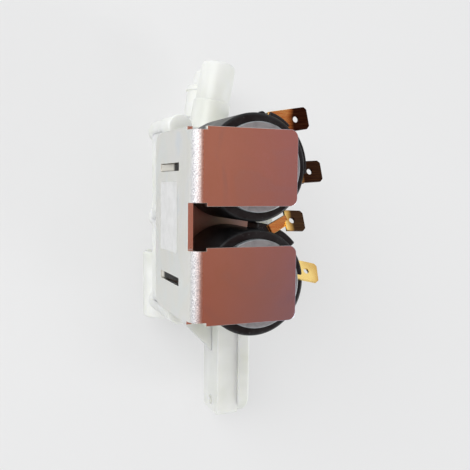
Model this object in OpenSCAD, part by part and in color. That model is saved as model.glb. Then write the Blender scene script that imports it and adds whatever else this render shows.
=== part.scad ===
// Twin-coil water inlet valve for a washing machine.
// Origin: centre of the inlet mouth. +X out of the inlet, +Y along the outlets, +Z along the coils.

/* [Inlet] */
// Outside diameter of the inlet thread
thread_d = 26.4; // [25.4:0.1:27]
// Length of the inlet from the panel face to its mouth
inlet_len = 13.5; // [12:0.5:18]
// Diameter of the collar that centres the inlet in the panel hole
collar_d = 28.4; // [28:0.1:30]
// Height of that collar above the panel face
collar_h = 2.4; // [1.5:0.1:3]
// Bore of the inlet, which holds the filter and the flow regulator
inlet_bore_d = 19; // [18:0.1:20]
// Depth of that bore from the mouth
inlet_bore_depth = 17; // [16:0.5:20]
// Bore of the narrow duct behind the regulator
duct_bore_d = 7.6; // [7:0.1:8]

/* [Flange] */
// Thickness of the flange plate that meets the panel
flange_t = 4.4; // [3:0.1:5]
// Width of the flange along the coil direction
flange_w = 17.6; // [16:0.1:20]
// Depth of the stiffening bar behind the flange plate
bar_depth = 8; // [6:0.1:9]
// Distance from the inlet axis to the lower screw hole
hole_below = 47; // [42:0.5:50]
// Distance from the inlet axis to the upper screw hole
hole_above = 21; // [20:0.5:23]
// Material beyond a screw hole at the flange's end
hole_edge = 4.4; // [4:0.1:6]
// Diameter of a screw hole
screw_hole_d = 3.8; // [3:0.1:4.2]
// Radius of the flange plate's corners
flange_r = 8; // [6:0.1:8]
// Distance from the flange plate's ends to the bar's ends
bar_inset = 0.6; // [0.4:0.1:2]
// Radius of the bar's corners
bar_r = 1.5; // [1:0.1:3]
// Leg of the gusset between the bar and the inlet duct
gusset_leg = 22; // [18:0.5:23]
// Thickness of the gusset
gusset_t = 2.2; // [1.5:0.1:3]

/* [Body] */
// Distance from the inlet mouth back to the coil axes
coil_back = 36.2; // [36:0.1:38]
// Distance from the inlet axis up to the line midway between the coils
coil_rise = 25; // [24:0.1:26]
// Height of the joint between body and cover above the inlet axis
joint_z = 27; // [26.5:0.1:28]
// Thickness of the body's deck
deck_t = 7; // [6.5:0.1:7.4]
// Width of the deck across the coil row
deck_w = 36; // [35.5:0.1:37]
// Length of the deck along the coil row
deck_len = 59; // [58:0.1:60]
// Radius of the deck's corners
deck_r = 4; // [2:0.1:5]
// Diameter of a valve chamber
chamber_d = 22; // [21:0.1:23]
// Depth of a valve chamber
chamber_depth = 5; // [4.6:0.1:5.2]
// Outside diameter of the seat nozzle
nozzle_d = 10; // [9.4:0.1:10.6]
// Bore of the seat nozzle
nozzle_bore_d = 7.2; // [6.8:0.1:7.6]
// Height of the nozzle above the chamber floor
nozzle_h = 3; // [2.8:0.1:3.2]
// Diameter of a screw post
post_d = 7.6; // [7:0.1:7.8]
// Distance of the outer posts from the line midway between the coils
post_y = 28.5; // [28:0.1:29]
// Distance of the posts from the plane of the coil axes
post_x = 13.9; // [13.6:0.1:14.2]
// Length of a post below the joint
post_down = 13; // [11:0.5:14]
// Height of the cross port between the two chambers above the chamber floor
port_z = 2.6; // [2.5:0.1:2.7]
// Bore of the passages that feed the chambers
passage_d = 4.6; // [4:0.1:5]

/* [Gallery] */
// Outside diameter of the gallery behind the inlet duct
gallery_d = 15.6; // [15:0.1:17]
// Bore of the gallery
gallery_bore_d = 7.6; // [7:0.1:8]
// Length of the gallery
gallery_len = 24; // [23:0.5:26]
// Distance from the gallery axis back to the coil axes
gallery_back = 8.4; // [8.2:0.1:8.6]
// Height of the gallery axis above the inlet axis
gallery_z = 1.5; // [1:0.1:2]
// Wall of the gallery and of the ducts
wall = 2; // [1.8:0.1:2.2]

/* [Outlets] */
// Outside diameter of an outlet spigot
outlet_d = 11.8; // [11:0.1:12.4]
// Bore of an outlet spigot
outlet_bore_d = 7.8; // [7:0.1:8]
// Distance from the inlet axis to the outlet tips
outlet_reach = 77.4; // [70:0.1:84]
// Lean of the upper outlet towards the inlet side, in degrees
upper_lean = 10.6; // [9:0.1:11]
// Lean of the lower outlet towards the inlet side, in degrees
lower_lean = 8.4; // [7:0.1:9]
// Height of the upper outlet above the inlet axis
upper_outlet_z = 15.9; // [15.4:0.1:16]
// Height of the lower outlet above the inlet axis
lower_outlet_z = -2; // [-3:0.1:-1]
// Diameter of both outlets' roots
outlet_root_d = 12.8; // [12.6:0.1:13.6]
// Length of the wide collar on the lower outlet
stop_len = 12; // [8:0.5:16]
// Diameter of that collar
stop_d = 15.2; // [14.6:0.1:16]
// How far the ring on that collar stands out
stop_ring = 0.5; // [0.3:0.1:0.8]
// Length of the upper spigot beyond its root
upper_free = 13.2; // [12:0.1:15]
// Length of the lower spigot beyond its collar
lower_free = 5.8; // [5:0.1:8]

/* [Cover] */
// Thickness of the cover plate
cover_t = 4; // [3.6:0.1:4.4]
// Diameter of the round bonnet over a chamber
bonnet_d = 26; // [25.4:0.1:26.6]
// Height of a bonnet above the joint
bonnet_h = 6.5; // [6.3:0.1:7]
// Height of the control space above a diaphragm
control_h = 4.9; // [4.7:0.1:5]
// Length of a post above the joint
post_up = 11.5; // [11:0.1:12]
// Wall of a guide tube
tube_wall = 1; // [0.9:0.05:1.1]
// Gap between the closed tip of a guide tube and the pole disc
tube_tip_gap = 0.2; // [0.1:0.05:0.3]
// Thickness of the closed tip of a guide tube
tube_tip_t = 1.2; // [1:0.1:1.5]
// Diameter of a cover screw's shank
screw_d = 3; // [2.5:0.1:3.2]
// Diameter of a cover screw's head
screw_head_d = 5.6; // [5:0.1:6]
// Height of a cover screw's head
screw_head_h = 1.8; // [1.4:0.1:2.2]
// Length of a cover screw's shank
screw_len = 18; // [16:0.5:20]

/* [Coils] */
// Distance between the coil axes
coil_pitch = 32; // [31.5:0.1:33]
// Outside diameter of a moulded coil
coil_d = 30; // [28:0.1:30.5]
// Height of a moulded coil
coil_h = 24.5; // [23.5:0.1:26]
// Radius of the rounded front edge of a coil
coil_edge_r = 0.9; // [0.5:0.1:1.2]
// Thickness of the moulding over the bobbin's ends
end_skin = 2.6; // [2.5:0.1:3]
// Thickness of a bobbin's flanges
bobbin_flange_t = 1.2; // [1:0.1:1.6]
// Diameter of a bobbin's flanges
bobbin_flange_d = 25.4; // [24.6:0.1:26]
// Wall of a bobbin's tube
bobbin_wall = 1; // [0.8:0.05:1.2]
// Diameter of the copper winding
winding_d = 23.6; // [22:0.1:24.2]
// Diameter of the steel pole disc on the front of a coil
disc_d = 24.8; // [24:0.1:25.6]
// Thickness of the pole disc
disc_t = 2; // [1.6:0.1:2.2]
// Diameter of the small locating hole in the pole disc
disc_hole_d = 4; // [3:0.1:5]
// Wall of the steel pole sleeve
sleeve_wall = 0.9; // [0.8:0.05:1]
// Clearance between the guide tube and the pole sleeve
sleeve_clear = 0.15; // [0.1:0.05:0.2]
// Length of the pole sleeve
sleeve_len = 15; // [14:0.5:18]
// Height of the moulded shoulder that holds a coil's terminals
shoulder_h = 9; // [8:0.5:12]
// How far the upper coil's shoulder stands out
upper_shoulder = 1.2; // [0.8:0.1:1.6]
// How far the lower coil's shoulder stands out
lower_shoulder = 1.8; // [1.4:0.1:1.8]
// Angle from +X to the start of the upper coil's shoulder, in degrees
upper_shoulder_start = -16; // [-20:1:-14]
// Angle that the upper coil's shoulder covers, in degrees
upper_shoulder_turn = 90; // [84:1:92]
// Angle from +X to the start of the lower coil's shoulder, in degrees
lower_shoulder_start = 40; // [36:1:44]
// Angle that the lower coil's shoulder covers, in degrees
lower_shoulder_turn = 46; // [40:1:47]
// Angle from +X to the nub on a coil's rim, in degrees
nub_turn = 83; // [70:1:100]
// Radius of that nub
nub_r = 1.1; // [0.8:0.1:1.4]
// Depth of the nub below the coil's face
nub_depth = 2.2; // [1.8:0.1:3]
// Width of the slit in the rolled pole sleeve
sleeve_slit = 0.8; // [0.6:0.1:1.2]

/* [Yoke] */
// Thickness of the yoke's sheet steel
sheet_t = 1.5; // [1.2:0.1:1.6]
// Distance from the side plate's outer face to the coil axes
yoke_back = 19.8; // [19.7:0.1:20.4]
// Length of an arm from the side plate's outer face
arm_len = 30.6; // [28:0.1:33]
// Width of an arm
arm_w = 20.9; // [19:0.1:21.5]
// Radius of an arm's free corners
arm_r = 2.2; // [1:0.1:4]
// Outside radius of the folds
fold_r = 3.3; // [2.6:0.1:3.6]
// Depth of the relief notches beside a fold
relief = 0.9; // [0.6:0.1:1.2]
// Width of the relief notches past the end of the fold
relief_past = 0.9; // [0.5:0.1:1.5]
// Width of the side plate along the coil row
side_w = 52.7; // [52:0.1:54]
// Depth of the side plate along the coils
side_depth = 36; // [34:0.5:36]
// Radius of the side plate's free corners
side_r = 4.6; // [3:0.1:6]
// Length of a lanced slot
slot_len = 18.4; // [14:0.1:20]
// Width of a lanced slot
slot_w = 2.3; // [2:0.1:3]
// Distance from the arms' face to a slot
slot_start = 11.5; // [10:0.1:13]
// Part of a slot's length that its bent tongue leaves open
slot_open = 5.8; // [4:0.1:8]
// Angle by which a tongue is pushed in, in degrees
tongue_angle = 9; // [5:0.5:12]
// Thickness of a tongue
tongue_t = 0.9; // [0.7:0.1:1.2]
// Gap on each side of a tongue
tongue_gap = 0.15; // [0.1:0.05:0.3]
// Reach of the base plate past the coil axes
base_reach = 12.6; // [11:0.1:14]
// Material beyond a coil's hole at the base plate's sides
base_edge = 3.3; // [3:0.1:3.6]

/* [Label] */
// Width of the paper label along the coil row
label_w = 20.2; // [16:0.1:22]
// Height of the paper label along the coils
label_h = 17; // [14:0.1:18]
// Thickness of the paper label
label_t = 0.1; // [0.08:0.01:0.2]
// Distance from the arms' face to the label
label_start = 13; // [12:0.1:14]
// How far the label's middle lies above the line midway between the coils
label_shift = 1.8; // [1:0.1:2.4]

/* [Terminals] */
// Width of a push-on tab
tab_w = 6.3; // [6.2:0.1:6.4]
// Thickness of a push-on tab
tab_t = 0.8; // [0.7:0.05:0.9]
// Diameter of the hole in a tab
tab_hole_d = 1.7; // [1.4:0.1:2]
// Distance from that hole to the tab's tip
tab_hole_in = 3.9; // [3.4:0.1:4.2]
// Cut of a tab's outer corners
tab_cut = 0.8; // [0.5:0.1:1.2]
// Length of the narrow foot inside the moulding
foot_len = 5; // [4:0.5:6]
// Width of that foot
foot_w = 3; // [2.4:0.1:3.4]
// Depth of the upper coil's terminals below its front face
upper_tab_depth = 1.9; // [1.8:0.1:2]
// Depth of the lower coil's terminals below its front face
lower_tab_depth = 1.4; // [1.2:0.1:1.6]
// Tip of the upper coil's top tab from its coil's axis
upper_top_tip = [16.3, 14.4]; // [14:0.1:18]
// Tip of the upper coil's side tab from its coil's axis
upper_side_tip = [21.1, -0.6]; // [-1:0.1:22]
// Tip of the lower coil's top tab from its coil's axis
lower_top_tip = [15.5, 17]; // [15:0.1:18]
// Tip of the lower coil's side tab from its coil's axis
lower_side_tip = [20.3, 1.5]; // [1:0.1:21]
// Length of the upper coil's top blade
upper_top_reach = 12; // [11.6:0.1:12.4]
// Length of the upper coil's side blade
upper_side_reach = 7.7; // [7.4:0.1:8]
// Length of the lower coil's top blade
lower_top_reach = 6; // [5.8:0.1:6.2]
// Length of the lower coil's side blade
lower_side_reach = 7.2; // [7:0.1:7.6]
// Distance from the inner end of the upper coil's top blade to its foot
foot_in = 2; // [1.8:0.1:2.2]
// Foot of the lower coil's top tab from its coil's axis
neck_start = [4.4, 14.5]; // [4:0.1:15]

/* [Working parts] */
// Diameter of a plunger
plunger_d = 8; // [7.6:0.1:8.2]
// Length of a plunger
plunger_len = 26; // [24:0.5:27]
// Radial running clearance of a plunger in its guide tube
plunger_clear = 0.08; // [0.04:0.01:0.1]
// Lift of a plunger
plunger_lift = 2.2; // [1.8:0.1:2.6]
// Diameter of the spring pocket in a plunger
pocket_d = 5.6; // [5:0.1:6]
// Depth of the spring pocket
pocket_depth = 5; // [4:0.5:6]
// Diameter of the rubber seal in a plunger's foot
seal_d = 4.4; // [4:0.1:5]
// Thickness of that seal
seal_t = 2.4; // [2:0.1:3]
// How far the seal stands proud of the plunger
seal_proud = 0.5; // [0.3:0.1:0.8]
// Wire of a plunger spring
spring_wire = 0.5; // [0.4:0.05:0.6]
// Turns of a plunger spring
spring_turns = 6; // [5:1:8]
// Thickness of a diaphragm's web
web_t = 0.9; // [0.8:0.05:1.1]
// Width of a diaphragm's rim bead
bead_w = 1.6; // [1.4:0.1:1.8]
// Height of a diaphragm's rim bead
bead_h = 2.4; // [2:0.1:2.6]
// Diameter of a diaphragm's hub
hub_d = 10.4; // [10:0.1:11]
// Diameter of the core's stem
stem_d = 4.8; // [4.4:0.1:5.2]
// How far the stem reaches into the seat nozzle
stem_below = 1.2; // [0.8:0.1:1.6]
// Thickness of the core's plate
core_plate_t = 1.2; // [1:0.1:1.4]
// Height of the pilot seat on the core
pilot_h = 0.7; // [0.5:0.1:0.9]
// Diameter of the pilot hole
pilot_d = 1.2; // [1:0.1:1.4]

/* [Inlet inserts] */
// Depth of the filter's rim below the mouth
filter_in = 0.6; // [0.3:0.1:1]
// Length of the filter
filter_len = 8.5; // [7:0.5:9]
// Wall of the filter
filter_wall = 0.8; // [0.7:0.05:1]
// Thickness of the filter's rim and floor
filter_rim_t = 1.2; // [1:0.1:1.4]
// Diameter of a hole in the filter's floor
mesh_d = 0.8; // [0.6:0.1:1]
// Width of the plain rim round the filter's floor
floor_rim = 2; // [1.8:0.1:2.4]
// Distance between the rings that tie the filter's bars
ring_step = 1.8; // [1.6:0.1:2.4]
// Clearance of the inserts in the inlet bore
insert_clear = 0.1; // [0.05:0.05:0.15]
// Number of bars around the filter
filter_bars = 24; // [16:1:32]
// Thickness of the rubber flow regulator
regulator_t = 3; // [2.5:0.1:3.5]
// Bore of the flow regulator
regulator_bore_d = 4.4; // [3.5:0.1:5.5]
// Number of holes in the regulator's holder
holder_holes = 6; // [4:1:8]
// Diameter of a hole in that holder
holder_hole_d = 2.4; // [2:0.1:2.8]
// Thickness of the regulator's holder
holder_t = 2.2; // [2:0.1:2.6]

/* [Hidden] */
$fn = 64;

// Extra length of a cutting shape past the face it cuts
cut = 0.5;
// Names of the two valve stations
UPPER = 0;
LOWER = 1;

// Places along X
panel_x = -inlet_len;
bar_x = panel_x - flange_t;
bar_back_x = bar_x - bar_depth;
coil_x = -coil_back;
gallery_x = coil_x - gallery_back;
side_x = coil_x - yoke_back;

// Places along Y
row_y = coil_rise;
function station_y(s) = row_y + (s == UPPER ? 1 : -1) * coil_pitch / 2;

// Places along Z, from the inlet axis up to the face of the arms
deck_z = joint_z - deck_t;
floor_z = joint_z - chamber_depth;
seat_z = floor_z + nozzle_h;
bonnet_z = joint_z + bonnet_h;
control_z = joint_z + control_h;
post_top_z = joint_z + post_up;
coil_z = post_top_z + sheet_t;
coil_face_z = coil_z + coil_h;
arm_in_z = coil_face_z + disc_t;
arm_z = arm_in_z + sheet_t;
tube_tip_z = coil_face_z - tube_tip_gap;
tube_in_z = tube_tip_z - tube_tip_t;

// Radii of the pieces that run and fit in one another
plunger_r = plunger_d / 2;
tube_in_r = plunger_r + plunger_clear;
tube_r = tube_in_r + tube_wall;
sleeve_in_r = tube_r + sleeve_clear;
sleeve_r = sleeve_in_r + sleeve_wall;
bobbin_r = sleeve_r + bobbin_wall;
diaphragm_r = chamber_d / 2 + bead_w;
stem_r = stem_d / 2;
web_z = joint_z - web_t / 2;
core_z = joint_z + web_t / 2;
pilot_z = core_z + core_plate_t + pilot_h;
plunger_z = pilot_z + seal_proud;
insert_r = inlet_bore_d / 2 - insert_clear;
inlet_floor_x = -inlet_bore_depth;

function shoulder_out(s) = s == UPPER ? upper_shoulder : lower_shoulder;
function shoulder_start(s) = s == UPPER ? upper_shoulder_start : lower_shoulder_start;
function shoulder_turn(s) = s == UPPER ? upper_shoulder_turn : lower_shoulder_turn;
function outlet_z(s) = s == UPPER ? upper_outlet_z : lower_outlet_z;
function outlet_lean(s) = s == UPPER ? upper_lean : lower_lean;
function free_len(s) = s == UPPER ? upper_free : lower_free;
function outlet_len(s) = (outlet_reach - station_y(s)) / cos(outlet_lean(s));

// Shapes that several pieces share
module at_station(s) {
    translate([coil_x, station_y(s), 0])
        children();
}

module rounded_rect(w, h, r) {
    square([w - 2 * r, h], center = true);
    square([w, h - 2 * r], center = true);
    for (x = [-1, 1], y = [-1, 1])
        translate([x * (w / 2 - r), y * (h / 2 - r)])
            circle(r);
}

module tube(r_out, r_in, h) {
    difference() {
        cylinder(r = r_out, h = h);
        translate([0, 0, -cut])
            cylinder(r = r_in, h = h + 2 * cut);
    }
}

// Cylinder whose axis runs along +X from x0 to x1
module rod_x(x0, x1, r) {
    translate([x0, 0, 0])
        rotate([0, 90, 0])
            cylinder(r = r, h = x1 - x0);
}

// Everything that follows an outlet's axis, with +Z along the spigot
module along_outlet(s) {
    translate([coil_x, station_y(s), outlet_z(s)])
        rotate([0, 0, -outlet_lean(s)])
            rotate([-90, 0, 0])
                children();
}

module at_posts() {
    for (x = [-post_x, post_x], y = [-post_y, 0, post_y])
        translate([coil_x + x, row_y + y, 0])
            children();
}

// Yoke: one folded sheet with two arms over the coils and a slotted side plate
module arm(s) {
    side = s == UPPER ? 1 : -1;
    y0 = row_y + side * (side_w / 2 - arm_w / 2);
    flat_x = side_x + fold_r + relief_past;
    full = arm_len - fold_r - relief_past;
    translate([0, 0, arm_in_z])
        linear_extrude(sheet_t) {
            translate([flat_x + full / 2, y0])
                difference() {
                    rounded_rect(full, arm_w, arm_r);
                    translate([-full / 2 - cut, -arm_w])
                        square([arm_r + cut, 2 * arm_w]);
                }
            translate([flat_x, y0 - arm_w / 2])
                square([arm_r, arm_w]);
            translate([side_x + fold_r, y0 - arm_w / 2 + relief])
                square([relief_past + cut, arm_w - 2 * relief]);
        }
    translate([side_x + fold_r, y0 - arm_w / 2 + relief, arm_z - fold_r])
        rotate([-90, 0, 0])
            linear_extrude(arm_w - 2 * relief)
                intersection() {
                    difference() {
                        circle(fold_r);
                        circle(fold_r - sheet_t);
                    }
                    translate([-fold_r, -fold_r])
                        square(fold_r);
                }
}

module slot_at(s) {
    translate([side_x, station_y(s), arm_z - slot_start])
        children();
}

// Tongue of a slot, hinged at the slot's inner end and pushed in towards the coil
module tongue(s) {
    long = slot_len - slot_open;
    slot_at(s)
        translate([sheet_t / 10, -slot_w / 2 + tongue_gap, -slot_len])
            rotate([0, tongue_angle, 0])
                translate([0, 0, -sheet_t / 2])
                    cube([tongue_t, slot_w - 2 * tongue_gap, long]);
}

module side_plate() {
    top_z = arm_z - fold_r;
    tall = side_depth - fold_r;
    difference() {
        translate([side_x, row_y, top_z - tall / 2])
            rotate([90, 0, 90])
                linear_extrude(sheet_t)
                    difference() {
                        union() {
                            rounded_rect(side_w, tall, side_r);
                            translate([-side_w / 2, 0])
                                square([side_w, tall / 2]);
                        }
                        for (y = [-1, 1])
                            translate([y * side_w / 2, tall / 2])
                                square([2 * relief, 2 * relief], center = true);
                    }
        for (s = [UPPER, LOWER])
            slot_at(s)
                translate([-cut, -slot_w / 2, -slot_len])
                    cube([sheet_t + 2 * cut, slot_w, slot_len]);
    }
}

module yoke() {
    color("#c9c6c0") {
        side_plate();
        for (s = [UPPER, LOWER]) {
            arm(s);
            tongue(s);
        }
    }
}

// Base plate: flat steel under both coils, from the side plate to the far posts
module yoke_base_plate() {
    x0 = side_x + sheet_t;
    long = yoke_back - sheet_t + base_reach;
    half_w = coil_pitch / 2 + sleeve_r + base_edge;
    color("#bdbcb6")
        translate([0, 0, post_top_z])
            linear_extrude(sheet_t)
                difference() {
                    translate([x0, row_y - half_w])
                        square([long, 2 * half_w]);
                    for (s = [UPPER, LOWER])
                        translate([coil_x, station_y(s)])
                            circle(sleeve_r);
                    translate([x0 + long, row_y])
                        circle(post_d / 2);
                }
}

module rating_label() {
    color("#f4f4f0")
        translate([side_x - label_t, row_y + label_shift - label_w / 2, arm_z - label_start - label_h])
            cube([label_t, label_w, label_h]);
}

// Body: one moulding with inlet, flange, gallery, two seats and two outlets
module outlet_outside(s) {
    full = outlet_len(s);
    along_outlet(s) {
        cylinder(d = outlet_d, h = full);
        cylinder(d = outlet_root_d, h = full - free_len(s));
        sphere(d = outlet_root_d);
        if (s == LOWER) {
            translate([0, 0, full - free_len(s) - stop_len])
                cylinder(d = stop_d, h = stop_len);
            translate([0, 0, full - free_len(s) - wall])
                cylinder(r = stop_d / 2 + stop_ring, h = wall / 2);
        }
    }
}

module nozzle_outside(s) {
    at_station(s)
        translate([0, 0, outlet_z(s)])
            cylinder(d = nozzle_bore_d + 2 * wall, h = deck_z + cut - outlet_z(s));
}

module flange() {
    low = -hole_below - hole_edge;
    high = hole_above + hole_edge;
    mid = (low + high) / 2;
    long = high - low;
    translate([bar_x, mid, 0])
        rotate([90, 0, 90])
            linear_extrude(flange_t)
                rounded_rect(long, flange_w, flange_r);
    translate([bar_back_x, mid, 0])
        rotate([90, 0, 90])
            linear_extrude(bar_depth)
                rounded_rect(long - 2 * bar_inset, flange_w - wall, bar_r);
    translate([bar_back_x - gusset_leg + cut, -duct_bore_d / 2 - wall, -gusset_t / 2])
        linear_extrude(gusset_t)
            polygon([[0, cut], [gusset_leg, cut], [gusset_leg, -gusset_leg]]);
}

module inlet_outside() {
    rod_x(panel_x, 0, thread_d / 2);
    rod_x(panel_x, panel_x + collar_h, collar_d / 2);
    rod_x(bar_back_x, panel_x + cut, inlet_bore_d / 2 + wall);
    rod_x(gallery_x, panel_x, duct_bore_d / 2 + wall);
}

module gallery_outside() {
    translate([gallery_x, -gallery_len / 2, gallery_z])
        rotate([-90, 0, 0])
            cylinder(d = gallery_d, h = gallery_len);
    translate([gallery_x, station_y(LOWER), gallery_z])
        cylinder(d = passage_d + 2 * wall, h = deck_z + cut - gallery_z);
}

module deck() {
    translate([coil_x, row_y, deck_z])
        linear_extrude(deck_t)
            rounded_rect(deck_w, deck_len, deck_r);
    at_posts()
        translate([0, 0, joint_z - post_down])
            cylinder(d = post_d, h = post_down);
}

// Stiffening ribs that tie the deck to the lower outlet and the inlet duct
module deck_ribs() {
    for (y = [station_y(LOWER), row_y, station_y(UPPER)])
        translate([coil_x, y - gusset_t / 2, lower_outlet_z])
            cube([nozzle_d, gusset_t, deck_z + cut - lower_outlet_z]);
}

module bead_groove(s) {
    at_station(s)
        translate([0, 0, joint_z - bead_h / 2])
            tube(diaphragm_r, diaphragm_r - bead_w, bead_h);
}

module chamber(s) {
    at_station(s) {
        difference() {
            translate([0, 0, floor_z])
                cylinder(d = chamber_d, h = chamber_depth + cut);
            translate([0, 0, floor_z - cut])
                cylinder(d = nozzle_d, h = nozzle_h + cut);
        }
        translate([0, 0, outlet_z(s)])
            cylinder(d = nozzle_bore_d, h = seat_z + cut - outlet_z(s));
    }
    along_outlet(s)
        cylinder(d = outlet_bore_d, h = outlet_len(s) + cut);
    along_outlet(s)
        sphere(d = outlet_bore_d);
}

module passages() {
    rod_x(inlet_floor_x, cut, inlet_bore_d / 2);
    rod_x(gallery_x, 0, duct_bore_d / 2);
    translate([gallery_x, -gallery_len / 2 + wall, gallery_z])
        rotate([-90, 0, 0])
            cylinder(d = gallery_bore_d, h = gallery_len - 2 * wall);
    translate([gallery_x, station_y(LOWER), gallery_z])
        cylinder(d = passage_d, h = floor_z + cut - gallery_z);
    translate([coil_x, row_y, floor_z + port_z])
        rotate([90, 0, 0])
            cylinder(d = passage_d, h = coil_pitch - chamber_d + 2 * cut, center = true);
}

module screw_holes() {
    for (y = [-hole_below, hole_above])
        translate([0, y, 0])
            rod_x(bar_back_x - cut, panel_x + cut, screw_hole_d / 2);
    at_posts()
        translate([0, 0, joint_z - post_down - cut])
            cylinder(d = screw_d, h = post_down + 2 * cut);
}

module valve_body() {
    color("#e6e8e0")
        difference() {
            union() {
                deck();
                deck_ribs();
                inlet_outside();
                flange();
                gallery_outside();
                for (s = [UPPER, LOWER]) {
                    outlet_outside(s);
                    nozzle_outside(s);
                }
            }
            for (s = [UPPER, LOWER]) {
                chamber(s);
                bead_groove(s);
            }
            passages();
            screw_holes();
        }
}

// Cover: one moulding with two bonnets and two closed guide tubes
module valve_cover() {
    pilot_len = screw_len - post_down + cut;
    color("#eceee8")
        difference() {
            union() {
                translate([coil_x, row_y, joint_z])
                    linear_extrude(cover_t)
                        rounded_rect(deck_w, deck_len, deck_r);
                at_posts()
                    translate([0, 0, joint_z])
                        cylinder(d = post_d, h = post_up);
                for (s = [UPPER, LOWER])
                    at_station(s)
                        translate([0, 0, joint_z]) {
                            cylinder(d = bonnet_d, h = bonnet_h);
                            cylinder(r = tube_r, h = tube_tip_z - joint_z);
                        }
            }
            for (s = [UPPER, LOWER]) {
                at_station(s)
                    translate([0, 0, joint_z - cut]) {
                        cylinder(d = chamber_d, h = control_h + cut);
                        cylinder(r = tube_in_r, h = tube_in_z - joint_z + cut);
                    }
                bead_groove(s);
            }
            at_posts()
                translate([0, 0, joint_z - cut])
                    cylinder(d = screw_d, h = pilot_len);
        }
}

module cover_screws() {
    head_z = joint_z - post_down - screw_head_h;
    slot = screw_head_d / 5;
    color("#a9adb0")
        at_posts() {
            translate([0, 0, head_z + screw_head_h])
                cylinder(d = screw_d, h = screw_len);
            translate([0, 0, head_z])
                difference() {
                    cylinder(d = screw_head_d, h = screw_head_h);
                    for (turn = [0, 90])
                        rotate([0, 0, turn])
                            cube([screw_head_d * 0.7, slot, screw_head_h], center = true);
                }
        }
}

// Filter basket: a rim, a floor ring and bars between them
module inlet_filter() {
    bar_w = PI * insert_r / filter_bars;
    first_hole = 1.4;
    first_ring = 3;
    color("#f0d48a")
        translate([-filter_in, 0, 0])
            rotate([0, -90, 0]) {
                tube(insert_r, insert_r - 2 * filter_wall, filter_rim_t);
                translate([0, 0, filter_len - filter_rim_t])
                    difference() {
                        cylinder(r = insert_r, h = filter_rim_t);
                        for (r = [first_hole : 2 * mesh_d : insert_r - floor_rim], k = [0 : 1 : floor(r * 3)])
                            rotate([0, 0, k * 360 / (floor(r * 3) + 1)])
                                translate([r, 0, -cut])
                                    cylinder(d = mesh_d, h = filter_rim_t + 2 * cut, $fn = 16);
                    }
                for (k = [0 : filter_bars - 1])
                    rotate([0, 0, k * 360 / filter_bars])
                        translate([insert_r - filter_wall, -bar_w / 2, filter_rim_t])
                            cube([filter_wall * 0.8, bar_w, filter_len - 2 * filter_rim_t]);
                for (z = [first_ring : ring_step : filter_len - 2 * filter_rim_t])
                    translate([0, 0, z])
                        tube(insert_r - filter_wall * 0.3, insert_r - filter_wall, ring_step / 3);
            }
}

module flow_regulator() {
    color("#3c3a38")
        translate([inlet_floor_x + holder_t + regulator_t, 0, 0])
            rotate([0, -90, 0])
                difference() {
                    cylinder(r = insert_r - 1, h = regulator_t);
                    translate([0, 0, -cut])
                        cylinder(d = regulator_bore_d, h = regulator_t + 2 * cut);
                    cylinder(d1 = regulator_bore_d * 1.8, d2 = regulator_bore_d, h = regulator_t / 3);
                }
}

module regulator_holder() {
    color("#dfe0da")
        translate([inlet_floor_x + holder_t, 0, 0])
            rotate([0, -90, 0]) {
                difference() {
                    cylinder(r = insert_r, h = holder_t);
                    for (k = [0 : holder_holes - 1])
                        rotate([0, 0, k * 360 / holder_holes])
                            translate([duct_bore_d / 3, 0, -cut])
                                cylinder(d = holder_hole_d, h = holder_t + 2 * cut);
                }
                translate([0, 0, -regulator_t])
                    tube(insert_r, insert_r - 1, regulator_t);
            }
}

// Coil parts, drawn about the coil axis
module coil_bore() {
    translate([0, 0, coil_z - cut])
        cylinder(r = bobbin_r, h = coil_h + 2 * cut);
}

module coil_shell(s) {
    r = coil_d / 2;
    color("#17181a")
        difference() {
            union() {
                at_station(s) {
                    difference() {
                        rotate_extrude() {
                            translate([0, coil_z])
                                square([r, coil_h - coil_edge_r]);
                            translate([0, coil_face_z - coil_edge_r])
                                square([r - coil_edge_r, coil_edge_r]);
                            translate([r - coil_edge_r, coil_face_z - coil_edge_r])
                                circle(coil_edge_r);
                        }
                        coil_bore();
                        translate([0, 0, coil_z + end_skin])
                            cylinder(d = bobbin_flange_d, h = coil_h - 2 * end_skin);
                    }
                    shoulder(s);
                    key_nub();
                }
            }
            terminal(s, true);
            terminal(s, false);
        }
}

// Moulded shoulder that carries both terminals of a coil
module shoulder(s) {
    r = coil_d / 2;
    low = coil_face_z - shoulder_h;
    half_turn = shoulder_turn(s) / 2;
    difference() {
        translate([0, 0, low])
            intersection() {
                cylinder(r = r + shoulder_out(s), h = shoulder_h - 1.5 * coil_edge_r);
                rotate([0, 0, shoulder_start(s)])
                    linear_extrude(shoulder_h)
                        polygon([[0, 0], for (k = [0 : 2]) 2 * r * [cos(k * half_turn), sin(k * half_turn)]]);
            }
        translate([0, 0, low - cut])
            cylinder(r = r - 1, h = shoulder_h + 2 * cut);
    }
}

// Small nub on the rim where the moulding was filled
module key_nub() {
    rotate([0, 0, nub_turn])
        translate([coil_d / 2 - nub_r / 2, 0, coil_face_z - nub_depth])
            cylinder(r = nub_r, h = nub_depth / 1.4);
}

module bobbin(s) {
    low = coil_z + end_skin;
    span = coil_h - 2 * end_skin;
    color("#e9e6da")
        at_station(s) {
            translate([0, 0, coil_z])
                tube(bobbin_r, sleeve_r, coil_h);
            for (z = [low, low + span - bobbin_flange_t])
                translate([0, 0, z])
                    tube(bobbin_flange_d / 2, sleeve_r, bobbin_flange_t);
        }
}

module winding(s) {
    low = coil_z + end_skin + bobbin_flange_t;
    color("#b5703a")
        at_station(s)
            translate([0, 0, low])
                tube(winding_d / 2, bobbin_r, coil_h - 2 * (end_skin + bobbin_flange_t));
}

module pole_disc(s) {
    color("#a7aaad")
        at_station(s)
            translate([0, 0, coil_face_z])
                tube(disc_d / 2, disc_hole_d / 2, disc_t);
}

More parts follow.
